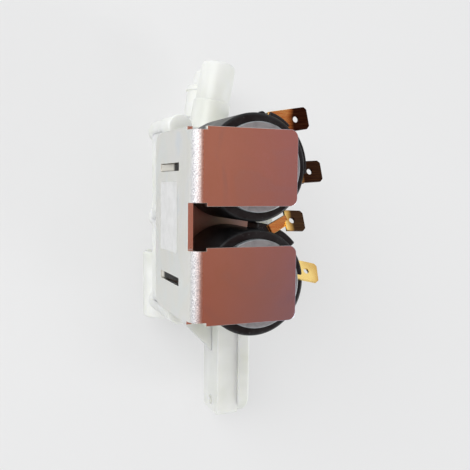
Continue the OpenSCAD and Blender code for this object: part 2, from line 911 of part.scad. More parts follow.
module pole_sleeve(s) {
    color("#9b9da0")
        at_station(s)
            translate([0, 0, bonnet_z])
                difference() {
                    tube(sleeve_r, sleeve_in_r, sleeve_len);
                    translate([sleeve_in_r - cut, -sleeve_slit / 2, -cut])
                        cube([sleeve_wall + 2 * cut, sleeve_slit, sleeve_len + 2 * cut]);
                }
}

// A terminal's tip and length, its heading and its roll about its own length, in degrees
function tab_tip(s, top) =
    top ? (s == UPPER ? upper_top_tip : lower_top_tip) : (s == UPPER ? upper_side_tip : lower_side_tip);
function tab_reach(s, top) =
    top ? (s == UPPER ? upper_top_reach : lower_top_reach) : (s == UPPER ? upper_side_reach : lower_side_reach);
function tab_heading(s, top) = top ? (s == UPPER ? 10 : -2) : (s == UPPER ? 4 : -13);
function tab_roll(s, top) = top ? (s == UPPER ? -5 : -27) : (s == UPPER ? -15 : -36);
function tab_root(s, top) =
    tab_tip(s, top) - tab_reach(s, top) * [cos(tab_heading(s, top)), sin(tab_heading(s, top))];
function tab_z(s) = coil_face_z - (s == UPPER ? upper_tab_depth : lower_tab_depth);

module tab_blade(reach) {
    linear_extrude(tab_t, center = true)
        difference() {
            polygon([
                [0, -tab_w / 2], [reach - tab_cut, -tab_w / 2], [reach, tab_cut - tab_w / 2],
                [reach, tab_w / 2 - tab_cut], [reach - tab_cut, tab_w / 2], [0, tab_w / 2]
            ]);
            translate([reach - tab_hole_in, 0])
                circle(d = tab_hole_d);
        }
}

// Foot that stands in the moulding
module tab_foot() {
    translate([0, -foot_w / 2, tab_t / 2 - foot_len])
        cube([tab_t, foot_w, foot_len]);
}

// Narrow neck from the foot of the lower coil's top tab to its blade
module tab_neck() {
    way = tab_root(LOWER, true) - neck_start;
    translate([neck_start[0], neck_start[1], 0])
        rotate([0, 0, atan2(way[1], way[0])]) {
            translate([0, -foot_w / 2, -tab_t / 2])
                cube([norm(way) + tab_cut, foot_w, tab_t]);
            tab_foot();
        }
}

module terminal(s, top) {
    necked = s == LOWER && top;
    root = tab_root(s, top);
    color("#b8862e")
        at_station(s)
            translate([0, 0, tab_z(s)]) {
                translate([root[0], root[1], 0])
                    rotate([0, 0, tab_heading(s, top)]) {
                        rotate([tab_roll(s, top), 0, 0])
                            tab_blade(tab_reach(s, top));
                        if (!necked)
                            translate([s == UPPER && top ? foot_in : 0, 0, 0])
                                tab_foot();
                    }
                if (necked)
                    tab_neck();
            }
}

// Working parts of a station
module plunger(s) {
    color("#8f9396")
        at_station(s)
            translate([0, 0, plunger_z])
                difference() {
                    cylinder(d = plunger_d, h = plunger_len);
                    translate([0, 0, plunger_len - pocket_depth])
                        cylinder(d = pocket_d, h = pocket_depth + cut);
                    translate([0, 0, -cut])
                        cylinder(d = seal_d, h = seal_t - seal_proud + cut);
                }
}

module plunger_seal(s) {
    color("#2b2a29")
        at_station(s)
            translate([0, 0, pilot_z])
                cylinder(d = seal_d, h = seal_t);
}

// Points of a round wire that follows a helix
function helix_point(t, k, n, r, low, rise) =
    let (a = 360 * t, b = 360 * k / n, w = spring_wire / 2)
    [(r + w * cos(b)) * cos(a), (r + w * cos(b)) * sin(a), low + rise * t + w * sin(b)];

module plunger_spring(s) {
    n = 6;
    per_turn = 16;
    low = plunger_z + plunger_len - pocket_depth + spring_wire / 2;
    high = tube_in_z - spring_wire / 2;
    r = pocket_d / 2 - spring_wire;
    rise = (high - low) / spring_turns;
    rings = spring_turns * per_turn;
    points = [for (i = [0 : rings], k = [0 : n - 1]) helix_point(i / per_turn, k, n, r, low, rise)];
    sides = [
        for (i = [0 : rings - 1], k = [0 : n - 1])
            [i * n + k, i * n + (k + 1) % n, (i + 1) * n + (k + 1) % n, (i + 1) * n + k]
    ];
    start = [for (k = [n - 1 : -1 : 0]) k];
    finish = [for (k = [0 : n - 1]) rings * n + k];
    color("#c4c7c9")
        at_station(s)
            polyhedron(points, concat(sides, [start, finish]));
}

module diaphragm(s) {
    hub_r = hub_d / 2;
    color("#33312f")
        at_station(s)
            difference() {
                union() {
                    translate([0, 0, web_z])
                        cylinder(r = diaphragm_r - bead_w / 2, h = web_t);
                    translate([0, 0, joint_z - bead_h / 2])
                        tube(diaphragm_r, diaphragm_r - bead_w, bead_h);
                    translate([0, 0, seat_z])
                        cylinder(r = hub_r, h = core_z - seat_z);
                }
                translate([0, 0, seat_z - cut])
                    cylinder(r = stem_r, h = core_z - seat_z + 2 * cut);
            }
}

module diaphragm_core(s) {
    color("#efe9d8")
        at_station(s)
            difference() {
                union() {
                    translate([0, 0, core_z])
                        cylinder(d = hub_d, h = core_plate_t);
                    translate([0, 0, core_z + core_plate_t])
                        cylinder(d1 = 3 * pilot_d, d2 = 2 * pilot_d, h = pilot_h);
                    translate([0, 0, seat_z - stem_below])
                        cylinder(r = stem_r, h = core_z - seat_z + stem_below + cut);
                }
                translate([0, 0, seat_z - stem_below - cut])
                    cylinder(d = pilot_d, h = pilot_z - seat_z + stem_below + 2 * cut);
            }
}

yoke();
yoke_base_plate();
rating_label();
valve_body();
valve_cover();
cover_screws();
inlet_filter();
flow_regulator();
regulator_holder();
coil_shell(UPPER);  // upper_coil_shell
bobbin(UPPER);  // upper_bobbin
winding(UPPER);  // upper_winding
pole_disc(UPPER);  // upper_pole_disc
pole_sleeve(UPPER);  // upper_pole_sleeve
terminal(UPPER, true);  // upper_terminal_top
terminal(UPPER, false);  // upper_terminal_side
plunger(UPPER);  // upper_plunger
plunger_seal(UPPER);  // upper_plunger_seal
plunger_spring(UPPER);  // upper_plunger_spring
diaphragm(UPPER);  // upper_diaphragm
diaphragm_core(UPPER);  // upper_diaphragm_core
coil_shell(LOWER);  // lower_coil_shell
bobbin(LOWER);  // lower_bobbin
winding(LOWER);  // lower_winding
pole_disc(LOWER);  // lower_pole_disc
pole_sleeve(LOWER);  // lower_pole_sleeve
terminal(LOWER, true);  // lower_terminal_top
terminal(LOWER, false);  // lower_terminal_side
plunger(LOWER);  // lower_plunger
plunger_seal(LOWER);  // lower_plunger_seal
plunger_spring(LOWER);  // lower_plunger_spring
diaphragm(LOWER);  // lower_diaphragm
diaphragm_core(LOWER);  // lower_diaphragm_core
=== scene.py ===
"""Looks of a twin-coil washing machine inlet valve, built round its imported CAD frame."""

import logging
import math
from collections.abc import Callable, Iterable, Sequence
from dataclasses import dataclass, field
from enum import Enum

import bmesh
import bpy
from mathutils import Matrix, Vector

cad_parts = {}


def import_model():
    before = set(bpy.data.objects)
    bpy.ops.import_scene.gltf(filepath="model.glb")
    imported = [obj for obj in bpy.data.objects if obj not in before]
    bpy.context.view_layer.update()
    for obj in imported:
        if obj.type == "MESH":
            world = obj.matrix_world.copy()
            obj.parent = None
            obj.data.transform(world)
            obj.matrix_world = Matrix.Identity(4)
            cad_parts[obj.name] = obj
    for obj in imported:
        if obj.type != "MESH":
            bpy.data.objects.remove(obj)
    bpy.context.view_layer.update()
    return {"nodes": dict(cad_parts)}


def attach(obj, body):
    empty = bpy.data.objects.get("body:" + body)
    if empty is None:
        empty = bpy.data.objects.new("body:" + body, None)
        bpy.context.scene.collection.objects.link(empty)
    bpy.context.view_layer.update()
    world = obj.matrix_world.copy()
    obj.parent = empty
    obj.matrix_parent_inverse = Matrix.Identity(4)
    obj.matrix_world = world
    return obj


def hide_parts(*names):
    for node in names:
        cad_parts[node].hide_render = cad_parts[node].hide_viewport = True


MM = 0.001
TAU = math.tau
WAVE_UNIT = 0.314  # a wave texture of this scale repeats once a metre
BODY = "valve"
LOG = logging.getLogger("inlet_valve")

Colour = tuple[float, float, float]
Point = tuple[float, float]
Point3 = tuple[float, float, float]
Socket = bpy.types.NodeSocket
Shape = bmesh.types.BMesh
EdgeTest = Callable[[bmesh.types.BMEdge], bool]


class Station(Enum):
    """The two valve stations, with the sign of their side of the row."""

    UPPER = 1
    LOWER = -1

    @property
    def label(self) -> str:
        """The word that starts the names of this station's pieces."""
        return self.name.lower()


# ---------------------------------------------------------------- materials


class Graph:
    """The node tree of a material or a world, filled node by node."""

    def __init__(self, owner: bpy.types.Material | bpy.types.World) -> None:
        """Empties the tree and gives it an output.

        Args:
            owner: the material or the world.
        """
        self.owner = owner
        owner.use_nodes = True
        self.tree = owner.node_tree
        self.tree.nodes.clear()
        kind = "World" if isinstance(owner, bpy.types.World) else "Material"
        self.output = self.tree.nodes.new(f"ShaderNodeOutput{kind}")

    def put(self, target: Socket, value: object) -> None:
        """Links a socket to an input, or sets the input's own value.

        Args:
            target: the input socket.
            value: an output socket, a number or a tuple.
        """
        if isinstance(value, Socket):
            self.tree.links.new(value, target)
        elif isinstance(value, tuple) and len(value) == 3 and target.type == "RGBA":
            target.default_value = (*value, 1.0)
        else:
            target.default_value = value

    def node(
        self, kind: str, inputs: dict[str | int, object] | None = None, **settings: object
    ) -> bpy.types.Node:
        """Adds a node.

        Args:
            kind: the node's type, without its ShaderNode prefix.
            inputs: values or sockets by the input's name or number.
            **settings: the node's own properties.

        Returns:
            The new node.
        """
        made = self.tree.nodes.new(f"ShaderNode{kind}")
        for key, value in settings.items():
            setattr(made, key, value)
        for key, value in (inputs or {}).items():
            self.put(made.inputs[key], value)
        return made

    def place(
        self, centre: Point3 = (0, 0, 0), scale: Point3 = (1, 1, 1), turn: Point3 = (0, 0, 0)
    ) -> Socket:
        """Object coordinates moved so that a pattern is centred on a piece.

        Args:
            centre: the pattern's centre in metres.
            scale: stretch of the pattern along each axis.
            turn: rotation of the pattern in degrees.

        Returns:
            The vector output of a Mapping node.
        """
        coordinates = self.node("TexCoord").outputs["Object"]
        moved = self.node("VectorMath", {0: coordinates, 1: centre}, operation="SUBTRACT").outputs[0]
        return self.node(
            "Mapping",
            {"Vector": moved, "Rotation": tuple(math.radians(a) for a in turn), "Scale": scale},
            vector_type="POINT",
        ).outputs[0]

    def noise(
        self, vector: Socket, per_metre: float, detail: float = 3.0, roughness: float = 0.55,
        distortion: float = 0.0,
    ) -> Socket:
        """A noise pattern.

        Args:
            vector: the coordinates it reads.
            per_metre: its scale.
            detail: its octaves.
            roughness: how strong the finer octaves are.
            distortion: how far it is stirred.

        Returns:
            The noise value.
        """
        return self.node(
            "TexNoise",
            {
                "Vector": vector,
                "Scale": per_metre,
                "Detail": detail,
                "Roughness": roughness,
                "Distortion": distortion,
            },
        ).outputs["Fac"]

    def ramp(self, value: Socket, stops: Sequence[tuple[float, Colour]], ease: str = "LINEAR") -> Socket:
        """Colours chosen by a value.

        Args:
            value: the socket that chooses.
            stops: position and colour of each stop.
            ease: how the ramp runs between its stops.

        Returns:
            The colour output.
        """
        made = self.node("ValToRGB", {"Fac": value})
        made.color_ramp.interpolation = ease
        elements = made.color_ramp.elements
        while len(elements) < len(stops):
            elements.new(0.5)
        for element, (position, colour) in zip(elements, stops):
            element.position = position
            element.color = (*colour, 1.0)
        return made.outputs["Color"]

    def span(self, value: Socket, low: float, high: float, to_low: float, to_high: float) -> Socket:
        """A value carried from one range to another and clamped there.

        Args:
            value: the socket to carry.
            low: the start of its own range.
            high: the end of its own range.
            to_low: what the start becomes.
            to_high: what the end becomes.

        Returns:
            The result.
        """
        ranges = {"From Min": low, "From Max": high, "To Min": to_low, "To Max": to_high}
        return self.node("MapRange", {"Value": value, **ranges}).outputs[0]

    def mix(self, share: object, first: object, second: object, blend: str = "MIX") -> Socket:
        """Two colours mixed.

        Args:
            share: how much of the second, as a socket or a number.
            first: the first colour.
            second: the second colour.
            blend: the way they are mixed.

        Returns:
            The mixed colour.
        """
        made = self.node("Mix", data_type="RGBA", blend_type=blend)
        self.put(made.inputs[0], share)
        self.put(made.inputs[6], first)
        self.put(made.inputs[7], second)
        return made.outputs[2]

    def maths(self, operation: str, first: object, second: object = 0.0) -> Socket:
        """One sum of two values.

        Args:
            operation: the name of the sum.
            first: the first value.
            second: the second value.

        Returns:
            The result.
        """
        return self.node("Math", {0: first, 1: second}, operation=operation).outputs[0]

    def bump(
        self, height: Socket, depth_mm: float, strength: float = 1.0, under: Socket | None = None
    ) -> Socket:
        """A bumped normal.

        Args:
            height: the height pattern, from 0 to 1.
            depth_mm: the height that 1 stands for.
            strength: how much of it shows.
            under: a normal that it is laid on.

        Returns:
            The normal.
        """
        made = self.node("Bump", {"Height": height, "Distance": depth_mm * MM, "Strength": strength})
        if under is not None:
            self.put(made.inputs["Normal"], under)
        return made.outputs[0]

    def surface(self, **inputs: object) -> bpy.types.Material:
        """Ends the tree in a principled shader.

        Args:
            **inputs: the shader's inputs, with their spaces as underscores.

        Returns:
            The finished material.
        """
        named = {key.replace("_", " "): value for key, value in inputs.items()}
        shader = self.node("BsdfPrincipled", named)
        self.put(self.output.inputs["Surface"], shader.outputs[0])
        return self.owner


@dataclass(frozen=True)
class Finish:
    """A finish of the valve. Each kind of surface is a subclass."""

    name: str

    def material(self) -> bpy.types.Material:
        """Builds the finish, or returns the material it has already made.

        The name differs from the record's slots, whose plain materials come in with the frame.

        Returns:
            The finished material.
        """
        name = f"{self.name}_look"
        found = bpy.data.materials.get(name)
        return found if found else self.make(Graph(bpy.data.materials.new(name)))

    def make(self, graph: Graph) -> bpy.types.Material:
        """Fills the node tree.

        Args:
            graph: the empty tree.

        Returns:
            The finished material.
        """
        raise NotImplementedError


@dataclass(frozen=True)
class NaturalNylon(Finish):
    """Natural, slightly translucent moulded nylon."""

    thin: Colour = (0.88, 0.885, 0.865)
    thick: Colour = (0.73, 0.745, 0.69)
    glow: float = 0.55
    roughness: float = 0.42

    def make(self, graph: Graph) -> bpy.types.Material:
        """Fills the node tree with clouds, flow lines and a mould grain."""
        wide = graph.noise(graph.place(), 55, 3, 0.5, 0.4)
        flow = graph.noise(graph.place(scale=(0.35, 0.12, 1.0), turn=(0, 0, 8)), 420, 2, 0.5, 1.2)
        grain = graph.noise(graph.place(), 5200, 2, 0.6)
        colour = graph.ramp(wide, [(0.3, self.thick), (0.7, self.thin)])
        colour = graph.mix(graph.span(flow, 0.35, 0.8, 0.0, 0.28), colour, self.thick)
        rough = graph.span(wide, 0.3, 0.7, self.roughness - 0.08, self.roughness + 0.1)
        normal = graph.bump(flow, 0.05, 0.35, graph.bump(grain, 0.012, 0.5))
        return graph.surface(
            Base_Color=colour,
            Roughness=rough,
            Normal=normal,
            IOR=1.53,
            Subsurface_Weight=self.glow,
            Subsurface_Radius=(1.0, 1.0, 0.85),
            Subsurface_Scale=0.0035,
        )


@dataclass(frozen=True)
class ZincPlate(Finish):
    """Zinc plated sheet with a faint passivation tint, speckle and rubbed scratches."""

    base: Colour = (0.86, 0.86, 0.845)
    tint: float = 0.35
    roughness: float = 0.2
    # The fields below place, in metres, the painted highlight on the folds, the painted shade on the lower
    # arm and the painted reflection tint across the arms.
    fold: Point | None = None
    feather: float = 0.0006
    band_rise: float = 0.001
    low_arm_to: float = 0.045
    arm_from: Point = (0.0672, 0.0679)
    shade_run: Point = (-0.052, -0.028)
    reflection_tint_run: Point = (-0.048, -0.027)

    def make(self, graph: Graph) -> bpy.types.Material:
        """Fills the node tree with iridescent clouds, grain, pits and scratches."""
        clouds = graph.noise(graph.place(scale=(1.0, 0.8, 1.3)), 60, 3, 0.5, 1.4)
        bands = graph.ramp(
            clouds,
            [
                (0.30, (0.66, 0.76, 0.83)),
                (0.42, (0.84, 0.83, 0.76)),
                (0.52, (0.80, 0.79, 0.66)),
                (0.62, (0.74, 0.81, 0.76)),
                (0.74, (0.83, 0.75, 0.76)),
            ],
            "EASE",
        )
        grain = graph.noise(graph.place(), 3600, 3, 0.7)
        pits = graph.node("TexVoronoi", {"Vector": graph.place(), "Scale": 1500.0}, feature="F1")
        pit = graph.span(pits.outputs["Distance"], 0.03, 0.13, 1.0, 0.0)
        chosen = graph.span(graph.noise(graph.place(), 900, 1), 0.57, 0.64, 0.0, 1.0)
        fleck = graph.maths("MULTIPLY", pit, chosen)
        colour = graph.mix(self.tint, self.base, bands)
        colour = graph.mix(graph.span(grain, 0.38, 0.68, 0.07, 0.0), colour, (0.50, 0.48, 0.46))
        colour = graph.mix(fleck, colour, (0.95, 0.94, 0.92))
        rough = graph.span(grain, 0.3, 0.75, self.roughness - 0.03, self.roughness + 0.06)
        lines = []
        for turn in ((0, 0, 24), (0, 0, 101), (31, 12, 66)):
            streak = graph.noise(graph.place(scale=(1.0, 0.03, 1.0), turn=turn), 1300, 2, 0.5)
            lines.append(graph.span(streak, 0.69, 0.75, 0.0, 1.0))
        scratch = graph.maths("MAXIMUM", graph.maths("MAXIMUM", lines[0], lines[1]), lines[2])
        rough = graph.maths("ADD", rough, graph.maths("MULTIPLY", scratch, 0.02))
        if self.fold:
            colour, rough = self.fold_band(graph, grain, colour, rough)
        dents = graph.noise(graph.place(), 170, 2, 0.5)
        normal = graph.bump(dents, 0.12, 0.10)
        normal = graph.bump(grain, 0.010, 0.14, normal)
        normal = graph.bump(fleck, 0.02, 0.15, normal)
        return graph.surface(Base_Color=colour, Metallic=1.0, Roughness=rough, Normal=normal)

    def fold_band(self, graph: Graph, grain: Socket, colour: Socket, rough: Socket) -> tuple[Socket, Socket]:
        """Lays a painted highlight, broken by grey grain, on the folds' bend, a painted shade on the lower
        arm and a painted reflection tint across both arms, at places in metres.

        Args:
            graph: the node tree.
            grain: the sheet's grain.
            colour: the colour so far.
            rough: the roughness so far.

        Returns:
            The new colour and roughness.
        """
        split = graph.node("SeparateXYZ", {0: graph.place()})
        x, y, z = (split.outputs[axis] for axis in range(3))
        fold_x, fold_z = self.fold
        # The band is a painted highlight along the bend of each fold, white broken by grey grain.
        near = graph.span(x, fold_x - self.feather, fold_x + self.feather, 1.0, 0.0)
        band = graph.maths("MULTIPLY", near, graph.span(z, fold_z, fold_z + self.band_rise, 0.0, 1.0))
        rubbed = graph.span(grain, 0.40, 0.60, 0.0, 1.0)
        fold_highlight = graph.mix(rubbed, (0.34, 0.34, 0.38), (0.96, 0.96, 0.97))
        colour = graph.mix(graph.maths("MULTIPLY", band, 0.85), colour, fold_highlight)
        rough = graph.maths("ADD", rough, graph.maths("MULTIPLY", band, 0.35))
        # Painted shade on the lower arm, warm and dark near the fold, cooler towards the tip.
        low = graph.span(y, 0.0, self.low_arm_to, 1.0, 0.0)
        arm = graph.span(z, *self.arm_from, 0.0, 1.0)
        shade = graph.mix(graph.span(x, *self.shade_run, 0.0, 1.0), (0.76, 0.66, 0.64), (0.66, 0.78, 0.86))
        lower_arm = graph.maths("MULTIPLY", graph.maths("MULTIPLY", low, arm), 0.9)
        colour = graph.mix(lower_arm, colour, shade, "MULTIPLY")
        # Painted reflection tint across both arms, warm near the fold and mauve towards the tips.
        across = graph.span(x, *self.reflection_tint_run, 0.0, 1.0)
        reflection_tint = graph.mix(across, (1.0, 0.96, 0.92), (0.90, 0.84, 1.0))
        return graph.mix(arm, colour, reflection_tint, "MULTIPLY"), rough


@dataclass(frozen=True)
class LancedTongue(Finish):
    """Zinc that falls into deep shade where it runs under the sheet."""

    lit: float = 0.0
    feather: float = 0.0006
    light: Colour = (0.66, 0.64, 0.58)
    shade: Colour = (0.012, 0.011, 0.010)

    def make(self, graph: Graph) -> bpy.types.Material:
        """Fills the node tree with the edge of the shade and a grain."""
        height = graph.node("SeparateXYZ", {0: graph.place()}).outputs[2]
        grain = graph.noise(graph.place(), 3600, 3, 0.7)
        under = graph.span(height, self.lit - self.feather, self.lit + self.feather, 0.0, 1.0)
        colour = graph.mix(under, self.light, self.shade)
        rough = graph.span(grain, 0.3, 0.7, 0.4, 0.6)
        normal = graph.bump(grain, 0.01, 0.3)
        return graph.surface(Base_Color=colour, Metallic=0.4, Roughness=rough, Normal=normal)


@dataclass(frozen=True)
class TurnedSteel(Finish):
    """Steel with the rings of a lathe round one axis."""

    centre: Point3 = (0, 0, 0)
    base: Colour = (0.36, 0.39, 0.41)
    dark: Colour = (0.22, 0.24, 0.25)
    roughness: float = 0.38

    def make(self, graph: Graph) -> bpy.types.Material:
        """Fills the node tree with rings, stains and grain."""
        place = graph.place(self.centre)
        rings = graph.node(
            "TexWave",
            {"Vector": place, "Scale": 900.0, "Distortion": 0.6, "Detail": 2.0, "Detail Scale": 1.5},
            wave_type="RINGS",
            rings_direction="Z",
        ).outputs["Fac"]
        stains = graph.noise(place, 240, 4, 0.6, 0.6)
        grain = graph.noise(place, 4200, 3, 0.7)
        colour = graph.ramp(stains, [(0.32, self.dark), (0.58, self.base)])
        colour = graph.mix(graph.span(grain, 0.3, 0.7, 0.25, 0.0), colour, self.dark)
        rough = graph.span(stains, 0.3, 0.7, self.roughness + 0.12, self.roughness)
        normal = graph.bump(rings, 0.008, 0.35, graph.bump(grain, 0.008, 0.3))
        return graph.surface(Base_Color=colour, Metallic=0.55, Roughness=rough, Normal=normal)


@dataclass(frozen=True)
class PlainSteel(Finish):
    """Drawn or rolled steel."""

    base: Colour = (0.62, 0.63, 0.64)
    dark: Colour = (0.40, 0.41, 0.43)
    roughness: float = 0.28
    along: Point3 = (1.0, 1.0, 0.08)

    def make(self, graph: Graph) -> bpy.types.Material:
        """Fills the node tree with drawn lines and stains."""
        lines = graph.noise(graph.place(scale=self.along), 2600, 2, 0.6)
        stains = graph.noise(graph.place(), 300, 3, 0.6)
        colour = graph.ramp(stains, [(0.35, self.dark), (0.6, self.base)])
        rough = graph.span(lines, 0.3, 0.7, self.roughness, self.roughness + 0.15)
        normal = graph.bump(lines, 0.008, 0.35)
        return graph.surface(Base_Color=colour, Metallic=1.0, Roughness=rough, Normal=normal)


@dataclass(frozen=True)
class BrassTarnishAndShade(Finish):
    """Stamped brass with tarnish clouds, and a painted highlight gold at its root fading into painted shade
    beyond an X that is given in millimetres.
    """

    highlight_gold: Colour = (0.98, 0.72, 0.26)
    amber: Colour = (0.62, 0.36, 0.10)
    shade_brown: Colour = (0.045, 0.022, 0.012)
    shade_depth: float = 0.6
    highlight_to: float = 0.0
    fade: float = 3.0

    def make(self, graph: Graph) -> bpy.types.Material:
        """Fills the node tree with the painted run from highlight gold to shaded brown, tarnish clouds and
        rolling lines.
        """
        clouds = graph.noise(graph.place(scale=(1.0, 1.0, 0.5)), 150, 2, 0.45, 0.3)
        lines = graph.noise(graph.place(scale=(0.06, 1.0, 1.0), turn=(0, 0, 10)), 2400, 2, 0.6)
        # The run along X paints a highlight at the root and shade beyond it; the clouds add real tarnish.
        along = graph.node("SeparateXYZ", {0: graph.place()}).outputs[0]
        ends = (self.highlight_to * MM, (self.highlight_to + self.fade) * MM)
        run = graph.span(along, *ends, 0.0, self.shade_depth)
        shade_and_tarnish = graph.maths("ADD", run, graph.span(clouds, 0.3, 0.7, -0.16, 0.16))
        colour = graph.ramp(shade_and_tarnish, [(0.05, self.highlight_gold), (0.4, self.amber), (0.8, self.shade_brown)])
        colour = graph.mix(graph.span(lines, 0.4, 0.75, 0.0, 0.05), colour, self.amber)
        rough = graph.span(lines, 0.3, 0.7, 0.20, 0.34)
        normal = graph.bump(lines, 0.01, 0.3)
        return graph.surface(Base_Color=colour, Metallic=1.0, Roughness=rough, Normal=normal)


@dataclass(frozen=True)
class BlackMoulding(Finish):
    """Black moulding compound with a satin skin."""

    base: Colour = (0.007, 0.007, 0.008)
    grey: Colour = (0.024, 0.024, 0.025)
    roughness: float = 0.34

    def make(self, graph: Graph) -> bpy.types.Material:
        """Fills the node tree with flow marks, dust and grain."""
        flow = graph.noise(graph.place(scale=(1.0, 1.0, 0.4)), 150, 4, 0.6, 1.1)
        grain = graph.noise(graph.place(), 3800, 2, 0.6)
        dust = graph.span(graph.noise(graph.place(), 1500, 2, 0.7), 0.66, 0.74, 0.0, 0.5)
        colour = graph.ramp(flow, [(0.35, self.base), (0.75, self.grey)])
        colour = graph.mix(dust, colour, (0.13, 0.13, 0.13))
        rough = graph.span(flow, 0.3, 0.7, self.roughness - 0.06, self.roughness + 0.12)
        normal = graph.bump(grain, 0.014, 0.4, graph.bump(flow, 0.08, 0.15))
        return graph.surface(
            Base_Color=colour, Roughness=rough, Normal=normal, IOR=1.5, Specular_IOR_Level=0.22
        )


@dataclass(frozen=True)
class Rubber(Finish):
    """Moulded black rubber."""

    base: Colour = (0.022, 0.021, 0.020)

    def make(self, graph: Graph) -> bpy.types.Material:
        """Fills the node tree with bloom and grain."""
        bloom = graph.noise(graph.place(), 350, 4, 0.6)
        grain = graph.noise(graph.place(), 5000, 2, 0.6)
        colour = graph.ramp(bloom, [(0.35, self.base), (0.7, (0.060, 0.058, 0.055))])
        rough = graph.span(bloom, 0.3, 0.7, 0.55, 0.75)
        return graph.surface(Base_Color=colour, Roughness=rough, Normal=graph.bump(grain, 0.02, 0.5))


@dataclass(frozen=True)
class CopperWire(Finish):
    """Enamelled copper wire laid turn by turn along Z."""

    wire_mm: float = 0.18

    def make(self, graph: Graph) -> bpy.types.Material:
        """Fills the node tree with the turns, a painted shade in the grooves between them, and the enamel's
        colours.
        """
        place = graph.place()
        turns = graph.node(
            "TexWave",
            {"Vector": place, "Scale": WAVE_UNIT / (self.wire_mm * MM), "Distortion": 0.15},
            wave_type="BANDS",
            bands_direction="Z",
        ).outputs["Fac"]
        clouds = graph.noise(place, 320, 3, 0.6)
        colour = graph.ramp(clouds, [(0.35, (0.42, 0.13, 0.04)), (0.7, (0.68, 0.27, 0.09))])
        # Painted shade in the grooves between turns.
        colour = graph.mix(graph.span(turns, 0.0, 0.35, 0.6, 0.0), colour, (0.10, 0.03, 0.012))
        rough = graph.span(clouds, 0.3, 0.7, 0.22, 0.36)
        normal = graph.bump(turns, 0.06, 0.7)
        return graph.surface(Base_Color=colour, Metallic=0.85, Roughness=rough, Normal=normal)


@dataclass(frozen=True)
class LabelPaper(Finish):
    """Blank coated paper with faint fibres and a soiled rim."""

    centre: Point3 = (0, 0, 0)
    half: Point = (0.01, 0.008)

    def make(self, graph: Graph) -> bpy.types.Material:
        """Fills the node tree with fibres, cockle and a grey rim."""
        place = graph.place(self.centre, (1.0, 1.0 / self.half[0], 1.0 / self.half[1]))
        split = graph.node("SeparateXYZ", {0: place})
        across = graph.maths("ABSOLUTE", split.outputs[1])
        up = graph.maths("ABSOLUTE", split.outputs[2])
        rim = graph.span(graph.maths("MAXIMUM", across, up), 0.9, 1.0, 0.0, 0.35)
        fibres = graph.noise(graph.place(scale=(1.0, 0.3, 1.0), turn=(35, 0, 0)), 2600, 4, 0.7)
        soil = graph.noise(graph.place(), 260, 4, 0.6)
        colour = graph.ramp(soil, [(0.3, (0.66, 0.66, 0.65)), (0.6, (0.76, 0.76, 0.755))])
        colour = graph.mix(graph.span(fibres, 0.35, 0.7, 0.12, 0.0), colour, (0.62, 0.61, 0.58))
        colour = graph.mix(rim, colour, (0.60, 0.60, 0.57))
        cockle = graph.noise(graph.place(), 160, 2, 0.5)
        normal = graph.bump(cockle, 0.15, 0.25, graph.bump(fibres, 0.01, 0.35))
        rough = graph.span(soil, 0.3, 0.7, 0.5, 0.62)
        return graph.surface(Base_Color=colour, Roughness=rough, Normal=normal)


@dataclass(frozen=True)
class PaleStage(Finish):
    """The pale floor, which the camera sees near to one tone and which keeps the shadow."""

    tone: Colour = (0.80, 0.80, 0.80)
    seen: Colour = (0.845, 0.845, 0.845)
    steady: float = 0.55

    def make(self, graph: Graph) -> bpy.types.Material:
        """Fills the node tree with a lit floor and its steady part for the camera."""
        mottle = graph.noise(graph.place(), 6, 2, 0.4)
        tone = graph.mix(graph.span(mottle, 0.3, 0.7, 0.0, 0.05), self.tone, (0.76, 0.76, 0.77))
        lit = graph.node("BsdfDiffuse", {"Color": tone})
        glow = graph.node("Emission", {"Color": self.seen, "Strength": 1.0})
        rays = graph.node("LightPath")
        share = graph.maths("MULTIPLY", rays.outputs["Is Camera Ray"], self.steady)
        mixed = graph.node("MixShader", {0: share, 1: lit.outputs[0], 2: glow.outputs[0]})
        graph.put(graph.output.inputs["Surface"], mixed.outputs[0])
        return graph.owner


# ---------------------------------------------------------------- shapes, in millimetres


def arc(centre: Point, radius: float, start: float, end: float, steps: int) -> list[Point]:
    """Points on an arc.

    Args:
        centre: the arc's centre.
        radius: its radius.
        start: its first angle in degrees.
        end: its last angle in degrees.
        steps: how many steps lie between them.

    Returns:
        The points, ends included.
    """
    angles = (math.radians(start + (end - start) * k / steps) for k in range(steps + 1))
    return [(centre[0] + radius * math.cos(a), centre[1] + radius * math.sin(a)) for a in angles]


def rounded_outline(low: Point, high: Point, radius: float, steps: int = 6) -> list[Point]:
    """A rectangle with round corners, counter-clockwise.

    Args:
        low: its lowest corner.
        high: its highest corner.
        radius: radius of the corners.
        steps: steps in each corner.

    Returns:
        The points.
    """
    (x0, y0), (x1, y1) = low, high
    corners = [((x1, y0), -90), ((x1, y1), 0), ((x0, y1), 90), ((x0, y0), 180)]
    points: list[Point] = []
    for (x, y), start in corners:
        inward_x = math.copysign(radius, x - (x0 + x1) / 2)
        inward_y = math.copysign(radius, y - (y0 + y1) / 2)
        points += arc((x - inward_x, y - inward_y), radius, start, start + 90, steps)
    return points


def lathe(profile: Sequence[Point], closed: bool = False, steps: int = 96) -> Shape:
    """Spins a profile of radius and height round Z.

    Args:
        profile: the points of the profile.
        closed: whether its end joins its start.
        steps: steps of the full turn.

    Returns:
        The spun shape.
    """
    bm = bmesh.new()
    verts = [bm.verts.new((r, 0, z)) for r, z in profile]
    pairs = list(zip(verts, verts[1:])) + ([(verts[-1], verts[0])] if closed else [])
    edges = [bm.edges.new(pair) for pair in pairs]
    bmesh.ops.spin(
        bm, geom=verts + edges, cent=(0, 0, 0), axis=(0, 0, 1), dvec=(0, 0, 0), angle=TAU, steps=steps,
        use_merge=True, use_normal_flip=False, use_duplicate=False,
    )
    bmesh.ops.remove_doubles(bm, verts=bm.verts, dist=1e-4)
    bmesh.ops.recalc_face_normals(bm, faces=bm.faces)
    return bm


